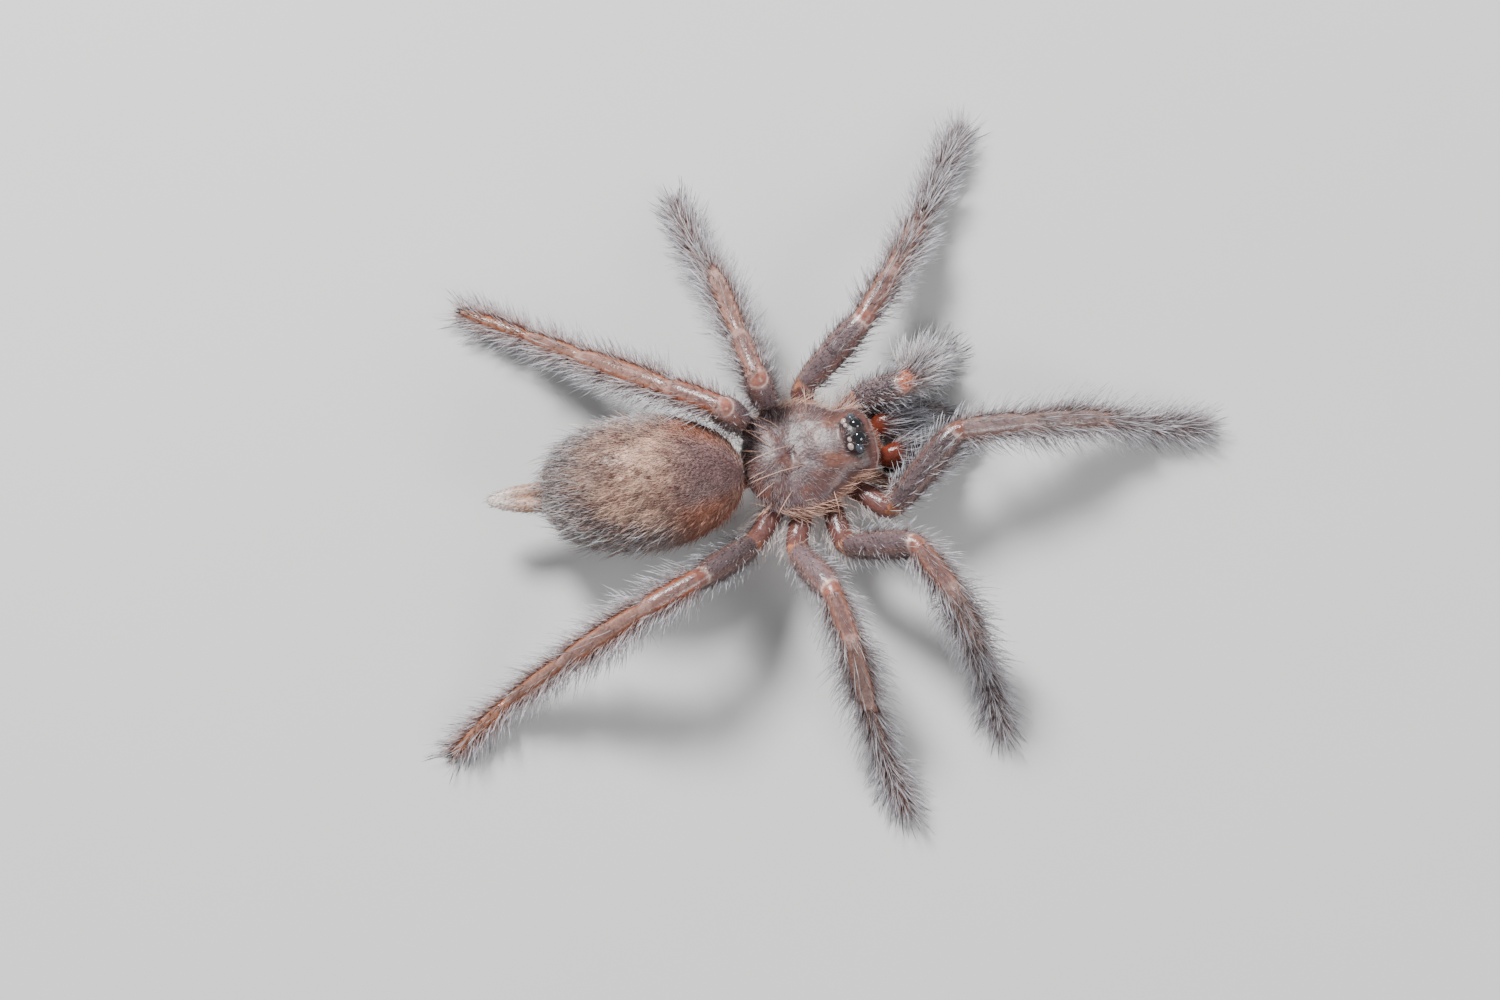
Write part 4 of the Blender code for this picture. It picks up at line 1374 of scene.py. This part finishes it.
middles = to_body(shield_places[shield_quads].mean(axis=1))
ahead, aside = middles[:, 0], np.abs(middles[:, 1])
upper = smooth_step(0.05, 0.2, middles[:, 2])
streak = smooth_step(-0.3, 0.8, ripple(middles * (1, 1, 0), 0.6, 21))
bare_head = np.exp(-(((ahead - 2.0) / 0.7) ** 2) - (middles[:, 1] / 1.2) ** 2)
bare_rust = np.exp(-(((ahead - 1.1) / 0.9) ** 2) - ((aside - 0.8) / 0.3) ** 2)
bare_head = np.maximum(bare_head, bare_rust * 0.8)
rear = 1 - smooth_step(-1.6, 0.6, ahead)
density = 165 * upper * (0.08 + 0.85 * streak + 0.65 * rear) * (1 - 0.85 * bare_head)
roots, normals, own = on_shield(density)
count = len(roots)
outward = np.column_stack([own[:, :2] - FOVEA, np.zeros(count)])
outward = unit(outward + np.array((0.4, 0, 0))) @ BODY_TURN
tip = np.clip(DOWN_TIP * chance.uniform(0.6, 1.2, size=(count, 1)), 0, 1)
# The down's roots take the shield's paint, its painted sheen behind the eyes included.
down = grow(SHORT_HAIR, roots, normals, outward, 0.32 * chance.uniform(0.5, 1.4, size=count),
            chance.uniform(0.006, 0.009, size=count), 16, 12, shield_colours(own) * 1.2, tip,
            plan_spots(own))
print(count, "hairs of down")

# %% Comb the fringe
GOLD = np.array((0.92, 0.56, 0.42))
rim_part = outline_part(middles[:, :2])
at_rim = smooth_step(0.82, 0.93, rim_part) * (middles[:, 2] > -0.12) * (ahead < 1.9)
roots, normals, own = on_shield(56 * at_rim)
count = len(roots)
outward = np.column_stack([np.full(count, 1.3), np.sign(own[:, 1]), np.zeros(count)])
rearmost = own[:, 0] < -2.0
outward[rearmost] = unit(np.column_stack([own[rearmost, :2], np.zeros(rearmost.sum())]))
tip = np.clip(GOLD * chance.uniform(0.7, 1.15, size=(count, 1)), 0, 1)
fringe = grow(LONG_HAIR, roots, normals, outward @ BODY_TURN,
              0.9 * chance.uniform(0.5, 1.4, size=count),
              chance.uniform(0.008, 0.013, size=count), 20, 30, np.tile(GOLD * 0.7, (count, 1)),
              tip, plan_spots(own))
print(count, "hairs in the fringe")

# %% Set the bristles
# Where each bristle stands and where its tip lies, along and across in millimetres.
BRISTLES = (
    ((-1.35, 1.21), (-2.35, 2.04)), ((-1.44, 0.4), (-2.48, 1.59)), ((-0.95, 1.23), (-1.5, 1.96)),
    ((-0.48, 0.35), (-2.65, 0.03)), ((-0.42, -0.63), (-2.75, -0.77)),
    ((0.49, -1.89), (0.82, -3.29)),
    ((-1.6, 1.1), (-2.5, 1.6)), ((-1.5, 1.75), (-2.2, 2.5)), ((-1.7, -1.0), (-2.6, -1.5)),
    ((-1.1, -1.5), (-1.9, -2.4)), ((0.3, 1.6), (0.5, 2.6)), ((1.3, 0.25), (0.3, 0.5)),
    ((1.3, -0.2), (0.35, -0.4)), ((-1.9, 0.4), (-2.7, 0.6)), ((-1.9, -0.4), (-2.7, -0.5)),
)
BRISTLE_GIRTH = 0.022
stands, tips = (np.array([pair[end] for pair in BRISTLES]) for end in (0, 1))
shield_own = to_body(shield_places)
under = shield_own[:, 2] <= 0.1
nearest = [np.argmin(np.linalg.norm(shield_own[:, :2] - stand, axis=1) + under * 9)
           for stand in stands]
count = len(stands)
reach = np.column_stack([tips - stands, np.zeros(count)])
bristles = grow(LONG_HAIR, shield_places[nearest], shield_normals[nearest], reach @ BODY_TURN,
                np.linalg.norm(reach, axis=1) * 1.3, np.full(count, BRISTLE_GIRTH), 36, 60,
                np.tile(GOLD * 0.7, (count, 1)), np.tile(GOLD * 1.1, (count, 1)),
                plan_spots(shield_own[nearest]), stray=3)
coat_total += plant("coat_shield", [down, fringe, bristles], FINE_HAIR)
print(coat_total, "triangles of hair in all")

# %% [markdown]
# ## The stage
# A plain pale floor, a large soft light from above and behind, and a fill from the other side. The
# camera looks down from nearly overhead through a long lens, so that near and far keep their
# sizes.

# %% Light the stage and set the camera
CAMERA_ELEVATION = math.radians(78)
CAMERA_DISTANCE = 250 * MM
CAMERA_LENS = 150
AIM = Vector((-3.22, -1.98, 3.3)) * MM
# Each light's place and width in metres, and its power in watts.
LIGHTS = {
    "key": ((-0.085, 0.135, 0.17), 0.07, 1.1),
    "fill": ((0.15, -0.12, 0.14), 0.12, 0.3),
}


def look_from(place, aim):
    """The turn that points a light or camera at aim, with its top towards +Y."""
    return (aim - place).to_track_quat("-Z", "Y").to_euler()


for name, (place, size, power) in LIGHTS.items():
    data = bpy.data.lights.new(name, "AREA")
    data.shape = "DISK"
    data.size = size
    data.energy = power
    light = add_object(name, data)
    light.location = place
    light.rotation_euler = look_from(Vector(place), Vector((0, 0, 0)))

bm = bmesh.new()
bmesh.ops.create_grid(bm, x_segments=8, y_segments=8, size=1.0)
floor = add_object("floor", mesh_from(bm, "floor"))
floor_finish = cuticle_material("pale_floor", 0.7, 0.05, 0.0, scale=40.0, colour=(0.62, 0.61, 0.6))
floor.data.materials.append(floor_finish)
floor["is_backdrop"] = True

world = bpy.data.worlds.new("studio")
world.use_nodes = True
sky = world.node_tree.nodes["Background"]
feed(world.node_tree, sky, {"Color": (0.9, 0.95, 1.0, 1), "Strength": 0.42})
bpy.context.scene.world = world

camera_data = bpy.data.cameras.new("camera")
camera_data.lens = CAMERA_LENS
camera_data.sensor_width = 36
camera_data.clip_start = 0.01
camera = add_object("camera", camera_data)
back = Vector((0, -math.cos(CAMERA_ELEVATION), math.sin(CAMERA_ELEVATION)))
camera.location = AIM + back * CAMERA_DISTANCE
camera.rotation_euler = look_from(camera.location, AIM)
bpy.context.scene.camera = camera
print("the camera is", round(camera.location.z / MM), "mm above the floor")

# %% [markdown]
# ## The size of the finished model
# The hairs stand a little proud of the solids, so the finished model is slightly larger than the
# frame. The growth of the model's box over the frame's is printed.

# %% Write the sizes and finish
new_low, new_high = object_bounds()
growth = (new_high - new_low) - (cad_high - cad_low)
print("grown by", [round(side / MM, 2) for side in growth], "mm")
